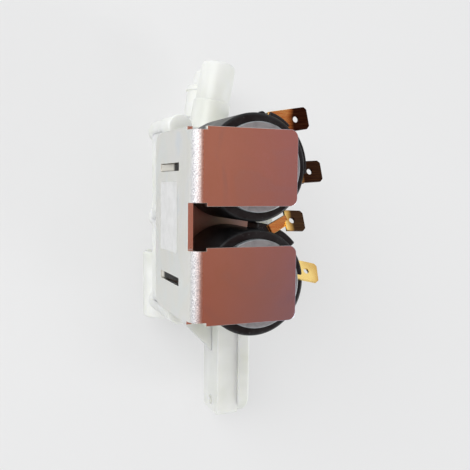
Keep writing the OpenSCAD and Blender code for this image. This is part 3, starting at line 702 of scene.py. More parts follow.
def plate(
    outline: Sequence[Point], low: float, high: float, holes: Sequence[Sequence[Point]] = ()
) -> Shape:
    """A flat plate of any outline, with holes.

    Args:
        outline: the points of its outline.
        low: height of its lower face.
        high: height of its upper face.
        holes: the outline of each hole.

    Returns:
        The plate.
    """
    bm = bmesh.new()
    edges = []
    for loop in [outline, *holes]:
        verts = [bm.verts.new((x, y, low)) for x, y in loop]
        edges += [bm.edges.new(pair) for pair in zip(verts, verts[1:] + verts[:1])]
    bmesh.ops.triangle_fill(bm, use_beauty=True, use_dissolve=False, edges=edges, normal=(0, 0, 1))
    grown = bmesh.ops.extrude_face_region(bm, geom=bm.faces[:], use_keep_orig=True)
    raised = [v for v in grown["geom"] if isinstance(v, bmesh.types.BMVert)]
    bmesh.ops.translate(bm, verts=raised, vec=(0, 0, high - low))
    bmesh.ops.dissolve_limit(
        bm, angle_limit=math.radians(1), verts=bm.verts, edges=bm.edges, delimit={"NORMAL"}
    )
    bmesh.ops.recalc_face_normals(bm, faces=bm.faces)
    return bm


def round_edges(
    bm: Shape, width: float, segments: int = 3, limit: float = 35.0, chosen: EdgeTest | None = None
) -> None:
    """Rounds the sharp edges of a shape.

    Args:
        bm: the shape.
        width: how far the rounding reaches.
        segments: its steps.
        limit: the smallest angle that counts as sharp, in degrees.
        chosen: tells which sharp edges are rounded; all of them without it.
    """
    sharp = [
        edge
        for edge in bm.edges
        if len(edge.link_faces) == 2
        and edge.calc_face_angle() > math.radians(limit)
        and (chosen is None or chosen(edge))
    ]
    bmesh.ops.bevel(
        bm, geom=sharp, offset=width, offset_type="OFFSET", affect="EDGES", segments=segments, profile=0.5,
        material=-1, clamp_overlap=True,
    )


def circle(centre: Point, radius: float, steps: int = 32) -> list[Point]:
    """Points of a full circle.

    Args:
        centre: its centre.
        radius: its radius.
        steps: how many points it has.

    Returns:
        The points.
    """
    return arc(centre, radius, 0, 360, steps)[:-1]


def moved(bm: Shape, place: Matrix) -> Shape:
    """Moves a shape.

    Args:
        bm: the shape.
        place: where it goes.

    Returns:
        The same shape.
    """
    bmesh.ops.transform(bm, matrix=place, verts=bm.verts)
    return bm


class Piece:
    """One visible piece, shaped in millimetres and handed over in metres."""

    def __init__(self, name: str) -> None:
        """Starts an empty piece.

        Args:
            name: name of the piece.
        """
        self.name = name
        self.bm = bmesh.new()

    def add(self, shape: Shape, place: Matrix | None = None) -> "Piece":
        """Adds a shape and frees it.

        Args:
            shape: the shape.
            place: where it goes.

        Returns:
            The piece, so that calls can be chained.
        """
        if place is not None:
            moved(shape, place)
        mesh = bpy.data.meshes.new("part")
        shape.to_mesh(mesh)
        shape.free()
        self.bm.from_mesh(mesh)
        bpy.data.meshes.remove(mesh)
        return self

    def finish(
        self, finish: Finish, slot: str, replaces: Iterable[str] = (), smooth: float = 32.0
    ) -> bpy.types.Object:
        """Turns the piece into an object that rides on the valve.

        Args:
            finish: its finish.
            slot: the record's material slot; not used.
            replaces: the CAD nodes that it stands for.
            smooth: the angle in degrees below which it shades smoothly.

        Returns:
            The object.
        """
        bmesh.ops.scale(self.bm, vec=(MM, MM, MM), verts=self.bm.verts)
        mesh = bpy.data.meshes.new(self.name)
        self.bm.to_mesh(mesh)
        self.bm.free()
        made = bpy.data.objects.new(self.name, mesh)
        bpy.context.scene.collection.objects.link(made)
        mesh.shade_smooth()
        mesh.set_sharp_from_angle(angle=math.radians(smooth))
        weighted = made.modifiers.new("flat_faces", "WEIGHTED_NORMAL")
        weighted.mode, weighted.weight, weighted.keep_sharp = "FACE_AREA", 50, True
        mesh.materials.append(finish.material())
        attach(made, BODY)
        if replaces:
            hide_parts(*replaces)
        LOG.info("%s: %d faces", self.name, len(mesh.polygons))
        return made


def shift(x: float, y: float, z: float = 0.0) -> Matrix:
    """A move by x, y and z millimetres."""
    return Matrix.Translation((x, y, z))


def turn(degrees: float, axis: str) -> Matrix:
    """A rotation about a named axis, in degrees."""
    return Matrix.Rotation(math.radians(degrees), 4, axis)


# ---------------------------------------------------------------- the valve


@dataclass(frozen=True)
class Layout:
    """The places that the sub-assemblies share, in millimetres, as in the CAD source."""

    panel_x: float = -13.5
    coil_x: float = -36.2
    side_x: float = -56.0
    row_y: float = 25.0
    pitch: float = 32.0
    joint_z: float = 27.0
    joint_gap: float = 0.02
    post_top_z: float = 38.5
    coil_z: float = 40.0
    coil_face_z: float = 64.5
    arm_in_z: float = 66.5
    arm_z: float = 68.0
    post_x: float = 13.9
    post_y: float = 28.5
    post_r: float = 3.8
    post_down: float = 13.0
    deck_w: float = 36.0
    deck_len: float = 59.0
    deck_r: float = 4.0

    def station_y(self, station: Station) -> float:
        """Y of a station's coil axis."""
        return self.row_y + station.value * self.pitch / 2

    def at(self, station: Station, z: float = 0.0) -> Matrix:
        """A move to a station's coil axis, at height z."""
        return shift(self.coil_x, self.station_y(station), z)

    def centre(self, station: Station, z: float) -> Point3:
        """A point on a station's coil axis, in metres."""
        return (self.coil_x * MM, self.station_y(station) * MM, z * MM)

    def deck_outline(self) -> list[Point]:
        """Outline of the deck and of the cover on it."""
        half_w, half_l = self.deck_w / 2, self.deck_len / 2
        low = (self.coil_x - half_w, self.row_y - half_l)
        high = (self.coil_x + half_w, self.row_y + half_l)
        return rounded_outline(low, high, self.deck_r)

    def posts(self) -> list[Point]:
        """The places of the six screw posts."""
        return [
            (self.coil_x + x, self.row_y + y)
            for x in (-self.post_x, self.post_x)
            for y in (-self.post_y, 0, self.post_y)
        ]


PLACES = Layout()
FACING_X = Matrix(((0, 0, 1, 0), (1, 0, 0, 0), (0, 1, 0, 0), (0, 0, 0, 1)))


@dataclass
class Yoke:
    """The folded sheet over the coils, its two lanced tongues, its base plate and its label."""

    sheet: float = 1.5
    arm_len: float = 30.6
    arm_w: float = 20.9
    arm_r: float = 2.2
    fold_r: float = 3.3
    relief: float = 0.9
    past: float = 0.9
    side_w: float = 52.7
    side_low: float = 32.0
    side_r: float = 4.6
    slot_len: float = 18.4
    slot_w: float = 2.3
    slot_start: float = 11.5
    slot_open: float = 5.8
    tongue_t: float = 0.9
    tongue_gap: float = 0.15
    tongue_angle: float = 9.0
    lit_to: float = 46.8
    lit_low: float = 2.0
    slot_r: float = 0.25
    near: float = 0.02
    rolled: float = 0.55
    plate_reach: float = 12.6
    hole_r: float = 6.13
    base_half: float = 25.43
    label_w: float = 20.2
    label_h: float = 17.0
    label_t: float = 0.1
    label_start: float = 13.0
    label_shift: float = 1.8
    fold_steps: int = 10
    # fold places the painted highlight on the folds' bend, in metres.
    zinc: ZincPlate = ZincPlate("zinc_yoke", fold=(-0.0533, 0.0657))
    flat: ZincPlate = ZincPlate("zinc_base", base=(0.30, 0.27, 0.26), roughness=0.35)

    @property
    def fold_z(self) -> float:
        """Height at which the folds start."""
        return PLACES.arm_z - self.fold_r

    def arm_span(self, station: Station) -> tuple[float, float]:
        """Lowest and highest Y of an arm."""
        ends = (self.side_w / 2 - self.arm_w, self.side_w / 2)
        span = sorted(PLACES.row_y + station.value * end for end in ends)
        return span[0], span[1]

    def slot_z(self) -> tuple[float, float]:
        """Lowest and highest Z of the slots."""
        top = PLACES.arm_z - self.slot_start
        return top - self.slot_len, top

    def side_outline(self) -> list[Point]:
        """Outline of the side plate as Y and Z, with the ends of both folds among its points."""
        low_y, high_y = PLACES.row_y - self.side_w / 2, PLACES.row_y + self.side_w / 2
        z0, z1, r, n = self.side_low, self.fold_z, self.side_r, self.relief
        points = arc((low_y + r, z0 + r), r, 180, 270, 8) + arc((high_y - r, z0 + r), r, 270, 360, 8)
        points += [(high_y, z1 - n), (high_y - n, z1 - n), (high_y - n, z1)]
        points += [(self.arm_span(Station.UPPER)[0] + n, z1), (self.arm_span(Station.LOWER)[1] - n, z1)]
        points += [(low_y + n, z1), (low_y + n, z1 - n), (low_y, z1 - n)]
        return points

    def slot_outline(self, station: Station) -> list[Point]:
        """Outline of a slot as Y and Z."""
        y = PLACES.station_y(station)
        z0, z1 = self.slot_z()
        return rounded_outline((y - self.slot_w / 2, z0), (y + self.slot_w / 2, z1), self.slot_r, 2)

    def skin(self) -> Shape:
        """The sheet's outer skin: side plate, folds and arms.

        Returns:
            An open shape without thickness.
        """
        bm = bmesh.new()
        x = PLACES.side_x
        edges = []
        for loop in [self.side_outline(), *(self.slot_outline(s) for s in Station)]:
            verts = [bm.verts.new((x, y, z)) for y, z in loop]
            edges += [bm.edges.new(pair) for pair in zip(verts, verts[1:] + verts[:1])]
        bmesh.ops.triangle_fill(bm, use_beauty=True, use_dissolve=False, edges=edges, normal=(-1, 0, 0))
        for station in Station:
            self.fold_arm(bm, station)
        bmesh.ops.recalc_face_normals(bm, faces=bm.faces)
        side = min(bm.faces, key=lambda face: face.calc_center_median().x)
        if side.normal.x > 0:
            bmesh.ops.reverse_faces(bm, faces=bm.faces)
        return bm

    def fold_arm(self, bm: Shape, station: Station) -> None:
        """Spins a fold out of the side plate's top edge and lays the arm's outline on its end.

        Args:
            bm: the skin.
            station: the arm's station.
        """
        y0, y1 = self.arm_span(station)
        inner = (y0 + self.relief, y1 - self.relief)
        edge = next(
            e
            for e in bm.edges
            if all(abs(v.co.z - self.fold_z) < 1e-3 for v in e.verts)
            and abs(min(v.co.y for v in e.verts) - inner[0]) < 1e-3
            and abs(max(v.co.y for v in e.verts) - inner[1]) < 1e-3
        )
        spun = bmesh.ops.spin(
            bm, geom=[*edge.verts, edge], cent=(PLACES.side_x + self.fold_r, 0, self.fold_z), axis=(0, 1, 0),
            dvec=(0, 0, 0), angle=math.radians(90), steps=self.fold_steps, use_merge=False,
            use_normal_flip=False, use_duplicate=False,
        )
        last = [e for e in spun["geom_last"] if isinstance(e, bmesh.types.BMEdge)]
        grown = bmesh.ops.extrude_edge_only(bm, edges=last)["geom"]
        ends = sorted((v for v in grown if isinstance(v, bmesh.types.BMVert)), key=lambda v: v.co.y)
        bmesh.ops.translate(bm, verts=ends, vec=(self.past, 0, 0))
        root_x = ends[0].co.x
        tip_x, r = PLACES.side_x + self.arm_len, self.arm_r
        low_corner = arc((tip_x - r, y0 + r), r, 270, 360, 8)
        high_corner = arc((tip_x - r, y1 - r), r, 0, 90, 8)
        outline = [(root_x, y0), *low_corner, *high_corner, (root_x, y1)]
        loop = [ends[0], *(bm.verts.new((x, y, PLACES.arm_z)) for x, y in outline), ends[1]]
        bm.faces.new(loop)

    def is_outer(self, point: Vector) -> bool:
        """Whether a point lies on the sheet's outer skin."""
        x, z = point.x - PLACES.side_x, point.z
        if z > self.fold_z and x < self.fold_r:
            return abs(math.hypot(x - self.fold_r, z - self.fold_z) - self.fold_r) < 0.05
        return abs(x) < self.near or abs(z - PLACES.arm_z) < self.near

    def in_slot(self, point: Vector) -> bool:
        """Whether a point of the side plate lies on a slot's edge."""
        slack = 0.1
        low, high = self.slot_z()
        beside = min(abs(point.y - PLACES.station_y(s)) for s in Station) < self.slot_w
        in_side = point.x < PLACES.side_x + self.sheet + slack
        return in_side and beside and low - slack < point.z < high + slack

    def folded_sheet(self) -> Shape:
        """The sheet with its thickness and its sheared, rolled edges."""
        bm = self.skin()
        bmesh.ops.solidify(bm, geom=bm.faces[:], thickness=self.sheet)
        bmesh.ops.recalc_face_normals(bm, faces=bm.faces)
        round_edges(bm, self.rolled, 4, 50, self.is_rolled)
        return bm

    def is_rolled(self, edge: bmesh.types.BMEdge) -> bool:
        """Whether an edge of the sheet is rolled: an outer one that isn't a slot's."""
        return all(self.is_outer(v.co) and not self.in_slot(v.co) for v in edge.verts)

    def tongue(self, station: Station) -> Shape:
        """A lanced tongue, hinged at the slot's inner end and pushed in.

        Args:
            station: the slot's station.

        Returns:
            The tongue.
        """
        low, high = self.slot_z()
        half = self.slot_w / 2 - self.tongue_gap
        long = high - low - self.slot_open
        outline = rounded_outline((-half, -self.sheet / 2), (half, long - self.sheet / 2), 0.3, 3)
        bm = plate(outline, 0, self.tongue_t)
        round_edges(bm, 0.2, 2)
        hinge = shift(PLACES.side_x + self.sheet / 10, PLACES.station_y(station), low)
        return moved(bm, hinge @ turn(self.tongue_angle, "Y") @ FACING_X)

    def base_plate(self) -> Shape:
        """The flat plate under both coils, notched for the far middle post."""
        x0, x1 = PLACES.side_x + self.sheet, PLACES.coil_x + self.plate_reach
        y0, y1 = PLACES.row_y - self.base_half, PLACES.row_y + self.base_half
        notch = arc((x1, PLACES.row_y), PLACES.post_r, 270, 90, 12)
        outline = [(x0, y0), (x1, y0), *notch, (x1, y1), (x0, y1)]
        holes = [circle((PLACES.coil_x, PLACES.station_y(s)), self.hole_r) for s in Station]
        bm = plate(outline, PLACES.post_top_z, PLACES.post_top_z + self.sheet, holes)
        round_edges(bm, 0.2, 2)
        return bm

    def label(self) -> None:
        """Builds the blank label, with its round corners and its slight lift off the plate."""
        top = PLACES.arm_z - self.label_start
        middle = PLACES.row_y + self.label_shift
        half = self.label_w / 2
        outline = rounded_outline((middle - half, top - self.label_h), (middle + half, top), 0.7, 4)
        bm = plate(outline, 0, self.label_t)
        round_edges(bm, self.label_t * 0.4, 1)
        stand = Matrix(((0, 0, -1, PLACES.side_x), (1, 0, 0, 0), (0, 1, 0, 0), (0, 0, 0, 1)))
        centre = (PLACES.side_x * MM, middle * MM, (top - self.label_h / 2) * MM)
        finish = LabelPaper("label_paper", centre, (half * MM, self.label_h / 2 * MM))
        Piece("blank_label").add(bm, stand).finish(finish, "label_paper", ["rating_label"])

    def build(self) -> None:
        """Builds every piece of the yoke."""
        Piece("yoke_sheet").add(self.folded_sheet()).finish(self.zinc, "zinc_yoke", ["yoke"])
        for station in Station:
            lit = self.lit_to if station is Station.UPPER else self.slot_z()[0] + self.lit_low
            finish = LancedTongue(f"{station.label}_tongue", lit=lit * MM)
            Piece(f"{station.label}_tongue").add(self.tongue(station)).finish(finish, "zinc_yoke")
        Piece("yoke_floor").add(self.base_plate()).finish(self.flat, "zinc_plate", ["yoke_base_plate"])
        self.label()


@dataclass(frozen=True)
class Tab:
    """Where a push-on tab lies, from its coil's axis, with angles in degrees."""

    tip: Point
    reach: float
    heading: float
    roll: float
    # These two set how deep the tab's painted shade goes and, in millimetres from the coil's axis, where its
    # painted highlight ends.
    shade_depth: float
    highlight_to: float
    foot: float = 0.0
    neck: Point | None = None

    @property
    def root(self) -> Point:
        """The inner end of the blade."""
        angle = math.radians(self.heading)
        return (self.tip[0] - self.reach * math.cos(angle), self.tip[1] - self.reach * math.sin(angle))


@dataclass
class Coil:
    """One moulded coil with its pole disc and its two push-on tabs."""

    station: Station
    shoulder_start: float
    shoulder_turn: float
    shoulder_out: float
    tab_depth: float
    tabs: dict[str, Tab]
    shell_r: float = 15.0
    bore_r: float = 7.1
    cavity_r: float = 12.7
    skin: float = 2.6
    edge_r: float = 0.9
    disc_r: float = 12.4
    disc_hole_r: float = 2.0
    shoulder_h: float = 9.0
    nub_turn: float = 83.0
    nub_r: float = 1.1
    nub_depth: float = 2.2
    tab_w: float = 6.3
    tab_t: float = 0.8
    tab_cut: float = 0.8
    tab_hole_r: float = 0.85
    tab_hole_in: float = 3.9
    foot_w: float = 3.0
    foot_len: float = 5.0
    black: BlackMoulding = BlackMoulding("coil_moulding")

    def shell(self) -> Shape:
        """The hollow moulding round the bobbin."""
        z0, z1 = PLACES.coil_z, PLACES.coil_face_z
        profile = [
            (self.bore_r, z0), (self.shell_r, z0), (self.shell_r, z1), (self.bore_r, z1),
            (self.bore_r, z1 - self.skin), (self.cavity_r, z1 - self.skin),
            (self.cavity_r, z0 + self.skin), (self.bore_r, z0 + self.skin),
        ]
        bm = lathe(profile, closed=True, steps=128)
        round_edges(bm, self.edge_r, 5, 35, self.rim_at(z1))
        round_edges(bm, 0.5, 3, 35, self.rim_at(z0))
        return bm

    def rim_at(self, z: float) -> EdgeTest:
        """Tells the edges of the shell's outer rim at a height.

        Args:
            z: the height.

        Returns:
            The test of an edge.
        """

        def on_rim(edge: bmesh.types.BMEdge) -> bool:
            """Whether both ends of an edge lie on the rim."""
            return all(abs(v.co.z - z) < 0.01 and v.co.xy.length > self.shell_r - 0.1 for v in edge.verts)

        return on_rim

    def shoulder(self) -> Shape:
        """The block on the rim that holds both tabs."""
        low = PLACES.coil_face_z - self.shoulder_h
        start, end = self.shoulder_start, self.shoulder_start + self.shoulder_turn
        outline = arc((0, 0), self.shell_r + self.shoulder_out, start, end, 28)
        outline += arc((0, 0), self.shell_r - 1, end, start, 28)
        bm = plate(outline, low, low + self.shoulder_h - 1.5 * self.edge_r)
        round_edges(bm, 0.45, 3)
        return bm

    def nub(self) -> Shape:
        """The small nub on the rim where the moulding was filled."""
        high = self.nub_depth / 1.4
        bm = lathe([(0, 0), (self.nub_r, 0), (self.nub_r, high), (0, high)], steps=24)
        round_edges(bm, 0.25, 3)
        low = PLACES.coil_face_z - self.nub_depth
        return moved(bm, turn(self.nub_turn, "Z") @ shift(self.shell_r - self.nub_r / 2, 0, low))

    def disc(self) -> Shape:
        """The pole disc, with its turned rim and its locating hole."""
        z0, z1 = PLACES.coil_face_z, PLACES.arm_in_z
        profile = [(self.disc_hole_r, z0), (self.disc_r, z0), (self.disc_r, z1), (self.disc_hole_r, z1)]
        bm = lathe(profile, closed=True)
        round_edges(bm, 0.35, 3)
        return bm

    def bar(self, start: float, end: float, low: float, high: float) -> Shape:
        """A narrow flat bar as wide as a tab's foot.

        Args:
            start: where it starts along X.
            end: where it ends along X.
            low: height of its lower face.
            high: height of its upper face.

        Returns:
            The bar.
        """
        half = self.foot_w / 2
        bm = plate([(start, -half), (end, -half), (end, half), (start, half)], low, high)
        round_edges(bm, 0.14, 2)
        return bm

    def blade(self, tab: Tab) -> Shape:
        """The blade of a tab, with its cut corners and its hole."""
        half, cut, reach = self.tab_w / 2, self.tab_cut, tab.reach
        outline = [
            (0, -half), (reach - cut, -half), (reach, cut - half),
            (reach, half - cut), (reach - cut, half), (0, half),
        ]
        hole = circle((reach - self.tab_hole_in, 0), self.tab_hole_r, 24)
        bm = plate(outline, -self.tab_t / 2, self.tab_t / 2, [hole])
        round_edges(bm, 0.14, 2)
        return bm

    def push_on(self, side: str, tab: Tab) -> None:
        """Builds one push-on tab: its blade, its foot and, on one of them, its neck.

        Args:
            side: which side of the coil it lies on.
            tab: its place.
        """
        name = f"{self.station.label}_tab_{side}"
        half = self.tab_t / 2
        level = PLACES.at(self.station, PLACES.coil_face_z - self.tab_depth)
        blade_at = level @ shift(*tab.root) @ turn(tab.heading, "Z")
        piece = Piece(name).add(self.blade(tab), blade_at @ turn(tab.roll, "X"))
        foot_at = blade_at @ shift(tab.foot, 0)
        if tab.neck:
            way = Vector(tab.root) - Vector(tab.neck)
            foot_at = level @ shift(*tab.neck) @ turn(math.degrees(math.atan2(way.y, way.x)), "Z")
            piece.add(self.bar(0, way.length + self.tab_cut, -half, half), foot_at)
        piece.add(self.bar(0, self.tab_t, half - self.foot_len, half), foot_at)
        node = f"{self.station.label}_terminal_{side}"
        # Each tab gets its own painted highlight and painted shade, set to how it lies.
        highlight_to = PLACES.coil_x + tab.highlight_to
        brass = BrassTarnishAndShade(f"brass_{name}", shade_depth=tab.shade_depth, highlight_to=highlight_to)
        piece.finish(brass, "terminal_brass", [node])

    def build(self) -> None:
        """Builds the moulding, the pole disc and both tabs."""
        name = self.station.label
        place = PLACES.at(self.station)
        moulding = Piece(f"{name}_coil")
        for shape in (self.shell(), self.shoulder(), self.nub()):
            moulding.add(shape, place)
        moulding.finish(self.black, "coil_moulding", [f"{name}_coil_shell"])
        steel = TurnedSteel(f"pole_steel_{name}", PLACES.centre(self.station, PLACES.arm_in_z))
        Piece(f"{name}_disc").add(self.disc(), place).finish(steel, "pole_steel", [f"{name}_pole_disc"])
        for side, tab in self.tabs.items():
            self.push_on(side, tab)


# Each tab carries how deep its painted shade goes and where its painted highlight ends.
UPPER_COIL = Coil(
    Station.UPPER, shoulder_start=-16, shoulder_turn=90, shoulder_out=1.2, tab_depth=1.9,
    tabs={
        "top": Tab((16.3, 14.4), 12.0, 10, -5, shade_depth=0.95, highlight_to=9.4, foot=2.0),
        "side": Tab((21.1, -0.6), 7.7, 4, -15, shade_depth=1.1, highlight_to=13.2),
    },
)
LOWER_COIL = Coil(
    Station.LOWER, shoulder_start=40, shoulder_turn=46, shoulder_out=1.8, tab_depth=1.4,
    tabs={
        "top": Tab((15.5, 17.0), 6.0, -2, -27, shade_depth=1.0, highlight_to=9.0, neck=(4.4, 14.5)),
        "side": Tab((20.3, 1.5), 7.2, -13, -36, shade_depth=0.25, highlight_to=15.0),
    },
)


@dataclass(frozen=True)
class Spigot:
    """How an outlet lies: its lean in degrees, its height, and its length past the hose stop."""

    lean: float
    z: float
    free: float


SPIGOTS = {Station.UPPER: Spigot(10.6, 15.9, 13.2), Station.LOWER: Spigot(8.4, -2.0, 5.8)}


@dataclass
class Body:
    """The body moulding: inlet, flange, gallery, deck, posts and outlets."""

    wall: float = 2.0
    thread_root_r: float = 11.9
    thread_r: float = 13.2
    thread_pitch: float = 2.309
    thread_turns: float = 3.7
    thread_gap: float = 0.9
    ridge_foot: float = 1.05
    ridge_crest: float = 0.32
    inlet_bore_r: float = 9.5
    inlet_depth: float = 17.0
    duct_bore_r: float = 3.8
    collar_r: float = 14.2
    collar_h: float = 2.4
    flange_t: float = 4.4
    flange_w: float = 17.6
    flange_r: float = 8.0
    bar_inset: float = 0.6
    bar_r: float = 1.5
    bar_depth: float = 8.0
    low_hole: float = -47.0
    high_hole: float = 21.0
    hole_edge: float = 4.4
    hole_r: float = 1.9
    gusset: float = 22.0
    gusset_t: float = 2.2
    deck_t: float = 7.0
    overlap: float = 0.5
    pilot_r: float = 1.5
    rib_reach: float = 10.0
    gallery_r: float = 7.8
    gallery_len: float = 24.0
    gallery_x: float = -44.6
    gallery_z: float = 1.5
    passage_r: float = 2.3
    outlet_r: float = 5.9
    outlet_bore_r: float = 3.9
    root_r: float = 6.4
    stop_len: float = 12.0
    stop_r: float = 7.6
    stop_ring: float = 0.5
    outlet_reach: float = 77.4
    nozzle_r: float = 5.6
    nylon: NaturalNylon = NaturalNylon("body_nylon")

    @property
    def bar_x(self) -> float:
        """X of the flange plate's back."""
        return PLACES.panel_x - self.flange_t

    @property
    def back_x(self) -> float:
        """X of the stiffening bar's back."""
        return self.bar_x - self.bar_depth

    @property
    def under_deck_z(self) -> float:
        """Height to which the risers, the feed and the ribs reach into the deck."""
        return PLACES.joint_z - self.deck_t + self.overlap

    @staticmethod
    def along_x() -> Matrix:
        """Turns a lathed shape so that its axis runs along +X."""
        return turn(90, "Y")

    def deck(self) -> Shape:
        """The deck that carries both chambers."""
        bm = plate(PLACES.deck_outline(), PLACES.joint_z - self.deck_t, PLACES.joint_z - PLACES.joint_gap)
        round_edges(bm, 0.5, 3)
        return bm

    def post(self) -> Shape:
        """One screw post below the joint, with its bore."""
        low, high = PLACES.joint_z - PLACES.post_down, PLACES.joint_z - PLACES.joint_gap
        bore, r = self.pilot_r, PLACES.post_r
        bm = lathe([(bore, low), (r, low), (r, high), (bore, high)], closed=True, steps=48)
        round_edges(bm, 0.35, 3)
        return bm

    def outlet(self, station: Station) -> Shape:
        """One outlet spigot with its hose stop and its rounded mouth.

        Args:
            station: the outlet's station.

        Returns:
            The spigot in its place.
        """
        spigot = SPIGOTS[station]
        full = (self.outlet_reach - PLACES.station_y(station)) / math.cos(math.radians(spigot.lean))
        seat = full - spigot.free
        profile = arc((0, 0), self.root_r, -90, 0, 10)
        wide = self.root_r
        if station is Station.LOWER:
            wide, start, ring = self.stop_r, seat - self.stop_len, self.stop_r + self.stop_ring
            profile += [
                (self.root_r, start - 0.4), (wide - 0.3, start), (wide, start + 0.3), (wide, seat - 2.1),
                (ring - 0.15, seat - 2), (ring, seat - 1.8), (ring, seat - 1.2),
                (ring - 0.15, seat - 1), (wide, seat - 0.9),
            ]
        tip, bore = self.outlet_r, self.outlet_bore_r
        profile += [
            (wide, seat - 0.3), (wide - 0.3, seat), (tip + 0.1, seat), (tip, seat + 0.1),
            (tip, full - 1.6), (tip - 0.5, full - 0.25), (tip - 0.9, full),
            (bore + 0.5, full), (bore, full - 0.5), (bore, 0),
        ]
        profile += arc((0, 0), bore, 0, -90, 8)[1:]
        place = PLACES.at(station, spigot.z) @ turn(-spigot.lean, "Z") @ turn(-90, "X")
        return moved(lathe(profile, steps=72), place)

    def riser(self, station: Station) -> Shape:
        """The riser from an outlet up to its seat nozzle."""
        low, high, r = SPIGOTS[station].z, self.under_deck_z, self.nozzle_r
        bm = lathe([(0, low), (r, low), (r, high), (0, high)], steps=64)
        return moved(bm, PLACES.at(station))

    def flange(self) -> list[Shape]:
        """The flange plate, its stiffening bar and the gusset.

        Returns:
            The three shapes in their places.
        """
        low, high = self.low_hole - self.hole_edge, self.high_hole + self.hole_edge
        holes = [circle((y, 0), self.hole_r) for y in (self.low_hole, self.high_hole)]
        half = self.flange_w / 2
        face_outline = rounded_outline((low, -half), (high, half), self.flange_r)
        face = plate(face_outline, self.bar_x, PLACES.panel_x, holes)
        round_edges(face, 0.5, 3)
        half = (self.flange_w - self.wall) / 2
        low, high = low + self.bar_inset, high - self.bar_inset
        bar_outline = rounded_outline((low, -half), (high, half), self.bar_r)
        bar = plate(bar_outline, self.back_x, self.bar_x + 0.1, holes)
        round_edges(bar, 0.6, 3)
        g = self.gusset
        web = plate([(0, 0.5), (g, 0.5), (g, -g)], -self.gusset_t / 2, self.gusset_t / 2)
        round_edges(web, 0.3, 2)
        web_at = shift(self.back_x - g + self.overlap, -self.duct_bore_r - self.wall)
        return [moved(face, FACING_X), moved(bar, FACING_X), moved(web, web_at)]

    def inlet(self) -> Shape:
        """The inlet tube with its collar, mouth, bore and narrow duct."""
        start, duct = PLACES.panel_x, self.duct_bore_r + self.wall
        collar_x = PLACES.panel_x + self.collar_h
        profile = [
            (duct, self.gallery_x), (duct, self.back_x), (self.inlet_bore_r + self.wall, self.back_x),
            (self.inlet_bore_r + self.wall, start), (self.collar_r, start), (self.collar_r, collar_x),
            (self.thread_root_r, collar_x), (self.thread_root_r, -0.6), (self.thread_root_r - 0.6, 0),
            (self.inlet_bore_r + 0.4, 0), (self.inlet_bore_r, -0.4), (self.inlet_bore_r, -self.inlet_depth),
            (self.duct_bore_r, -self.inlet_depth), (self.duct_bore_r, self.gallery_x),
        ]
        bm = lathe(profile, closed=True, steps=96)
        round_edges(bm, 0.35, 3, 60)
        return moved(bm, self.along_x())

    def thread(self) -> Shape:
        """The helical ridge of the inlet thread, with its run-outs.

        Returns:
            The ridge in its place.
        """
        bm = bmesh.new()
        start = PLACES.panel_x + self.collar_h + self.thread_gap
        turns, per_turn = self.thread_turns, 72
        foot, crest, wide, narrow = self.thread_root_r - 0.1, self.thread_r, self.ridge_foot, self.ridge_crest
        section = [(foot, -wide), (crest, -narrow), (crest, narrow), (foot, wide)]
        verts = [bm.verts.new((r, 0, start + z)) for r, z in section]
        edges = [bm.edges.new(pair) for pair in zip(verts, verts[1:] + verts[:1])]
        steps = round(turns * per_turn)
        bmesh.ops.spin(
            bm, geom=verts + edges, cent=(0, 0, 0), axis=(0, 0, 1), dvec=(0, 0, self.thread_pitch / per_turn),
            angle=TAU * turns, steps=steps, use_merge=False, use_normal_flip=False, use_duplicate=False,
        )
        bmesh.ops.holes_fill(bm, edges=[e for e in bm.edges if e.is_boundary], sides=4)
        bmesh.ops.recalc_face_normals(bm, faces=bm.faces)
        for vert in bm.verts:
            angle = math.atan2(vert.co.y, vert.co.x) % TAU
            along = (vert.co.z - start) / self.thread_pitch
            turned = round(along - angle / TAU) + angle / TAU
            fade = min(1.0, turned * 3, (turns - turned) * 3)
            r = vert.co.xy.length
            if r > foot + 0.2:
                scale = (foot + 0.15 + (r - foot - 0.15) * max(fade, 0.0)) / r
                vert.co.x *= scale
                vert.co.y *= scale
        return moved(bm, self.along_x())

    def gallery(self) -> Shape:
        """The gallery behind the duct, with domed end caps."""
        half, r = self.gallery_len / 2, self.gallery_r
        bm = lathe([(0, -half), (r, -half), (r, half), (0, half)], steps=72)
        round_edges(bm, 1.0, 4)
        return moved(bm, shift(self.gallery_x, 0, self.gallery_z) @ turn(-90, "X"))

    def feed(self) -> Shape:
        """The feed pipe from the gallery up to the deck."""
        r, low, high = self.passage_r + self.wall, self.gallery_z, self.under_deck_z
        bm = lathe([(0, low), (r, low), (r, high), (0, high)], steps=48)
        return moved(bm, shift(self.gallery_x, PLACES.station_y(Station.LOWER)))

    def rib(self, y: float) -> Shape:
        """A rib between the deck and the outlets.

        Args:
            y: the middle of the rib.

        Returns:
            The rib in its place.
        """
        y0, y1 = y - self.gusset_t / 2, y + self.gusset_t / 2
        x0, x1 = PLACES.coil_x, PLACES.coil_x + self.rib_reach
        low, high = SPIGOTS[Station.LOWER].z, self.under_deck_z
        bm = plate([(x0, y0), (x1, y0), (x1, y1), (x0, y1)], low, high)
        round_edges(bm, 0.25, 2)
        return bm

    def build(self) -> None:
        """Builds the whole moulding as one piece, with its thread."""
        piece = Piece("valve_moulding").add(self.deck())
        for x, y in PLACES.posts():
            piece.add(self.post(), shift(x, y))
        for station in Station:
            piece.add(self.outlet(station)).add(self.riser(station))
            piece.add(self.rib(PLACES.station_y(station)))
        piece.add(self.rib(PLACES.row_y)).add(self.gallery()).add(self.feed())
        for shape in self.flange():
            piece.add(shape)
        piece.add(self.inlet()).add(self.thread())
        piece.finish(self.nylon, "body_nylon", ["valve_body"])


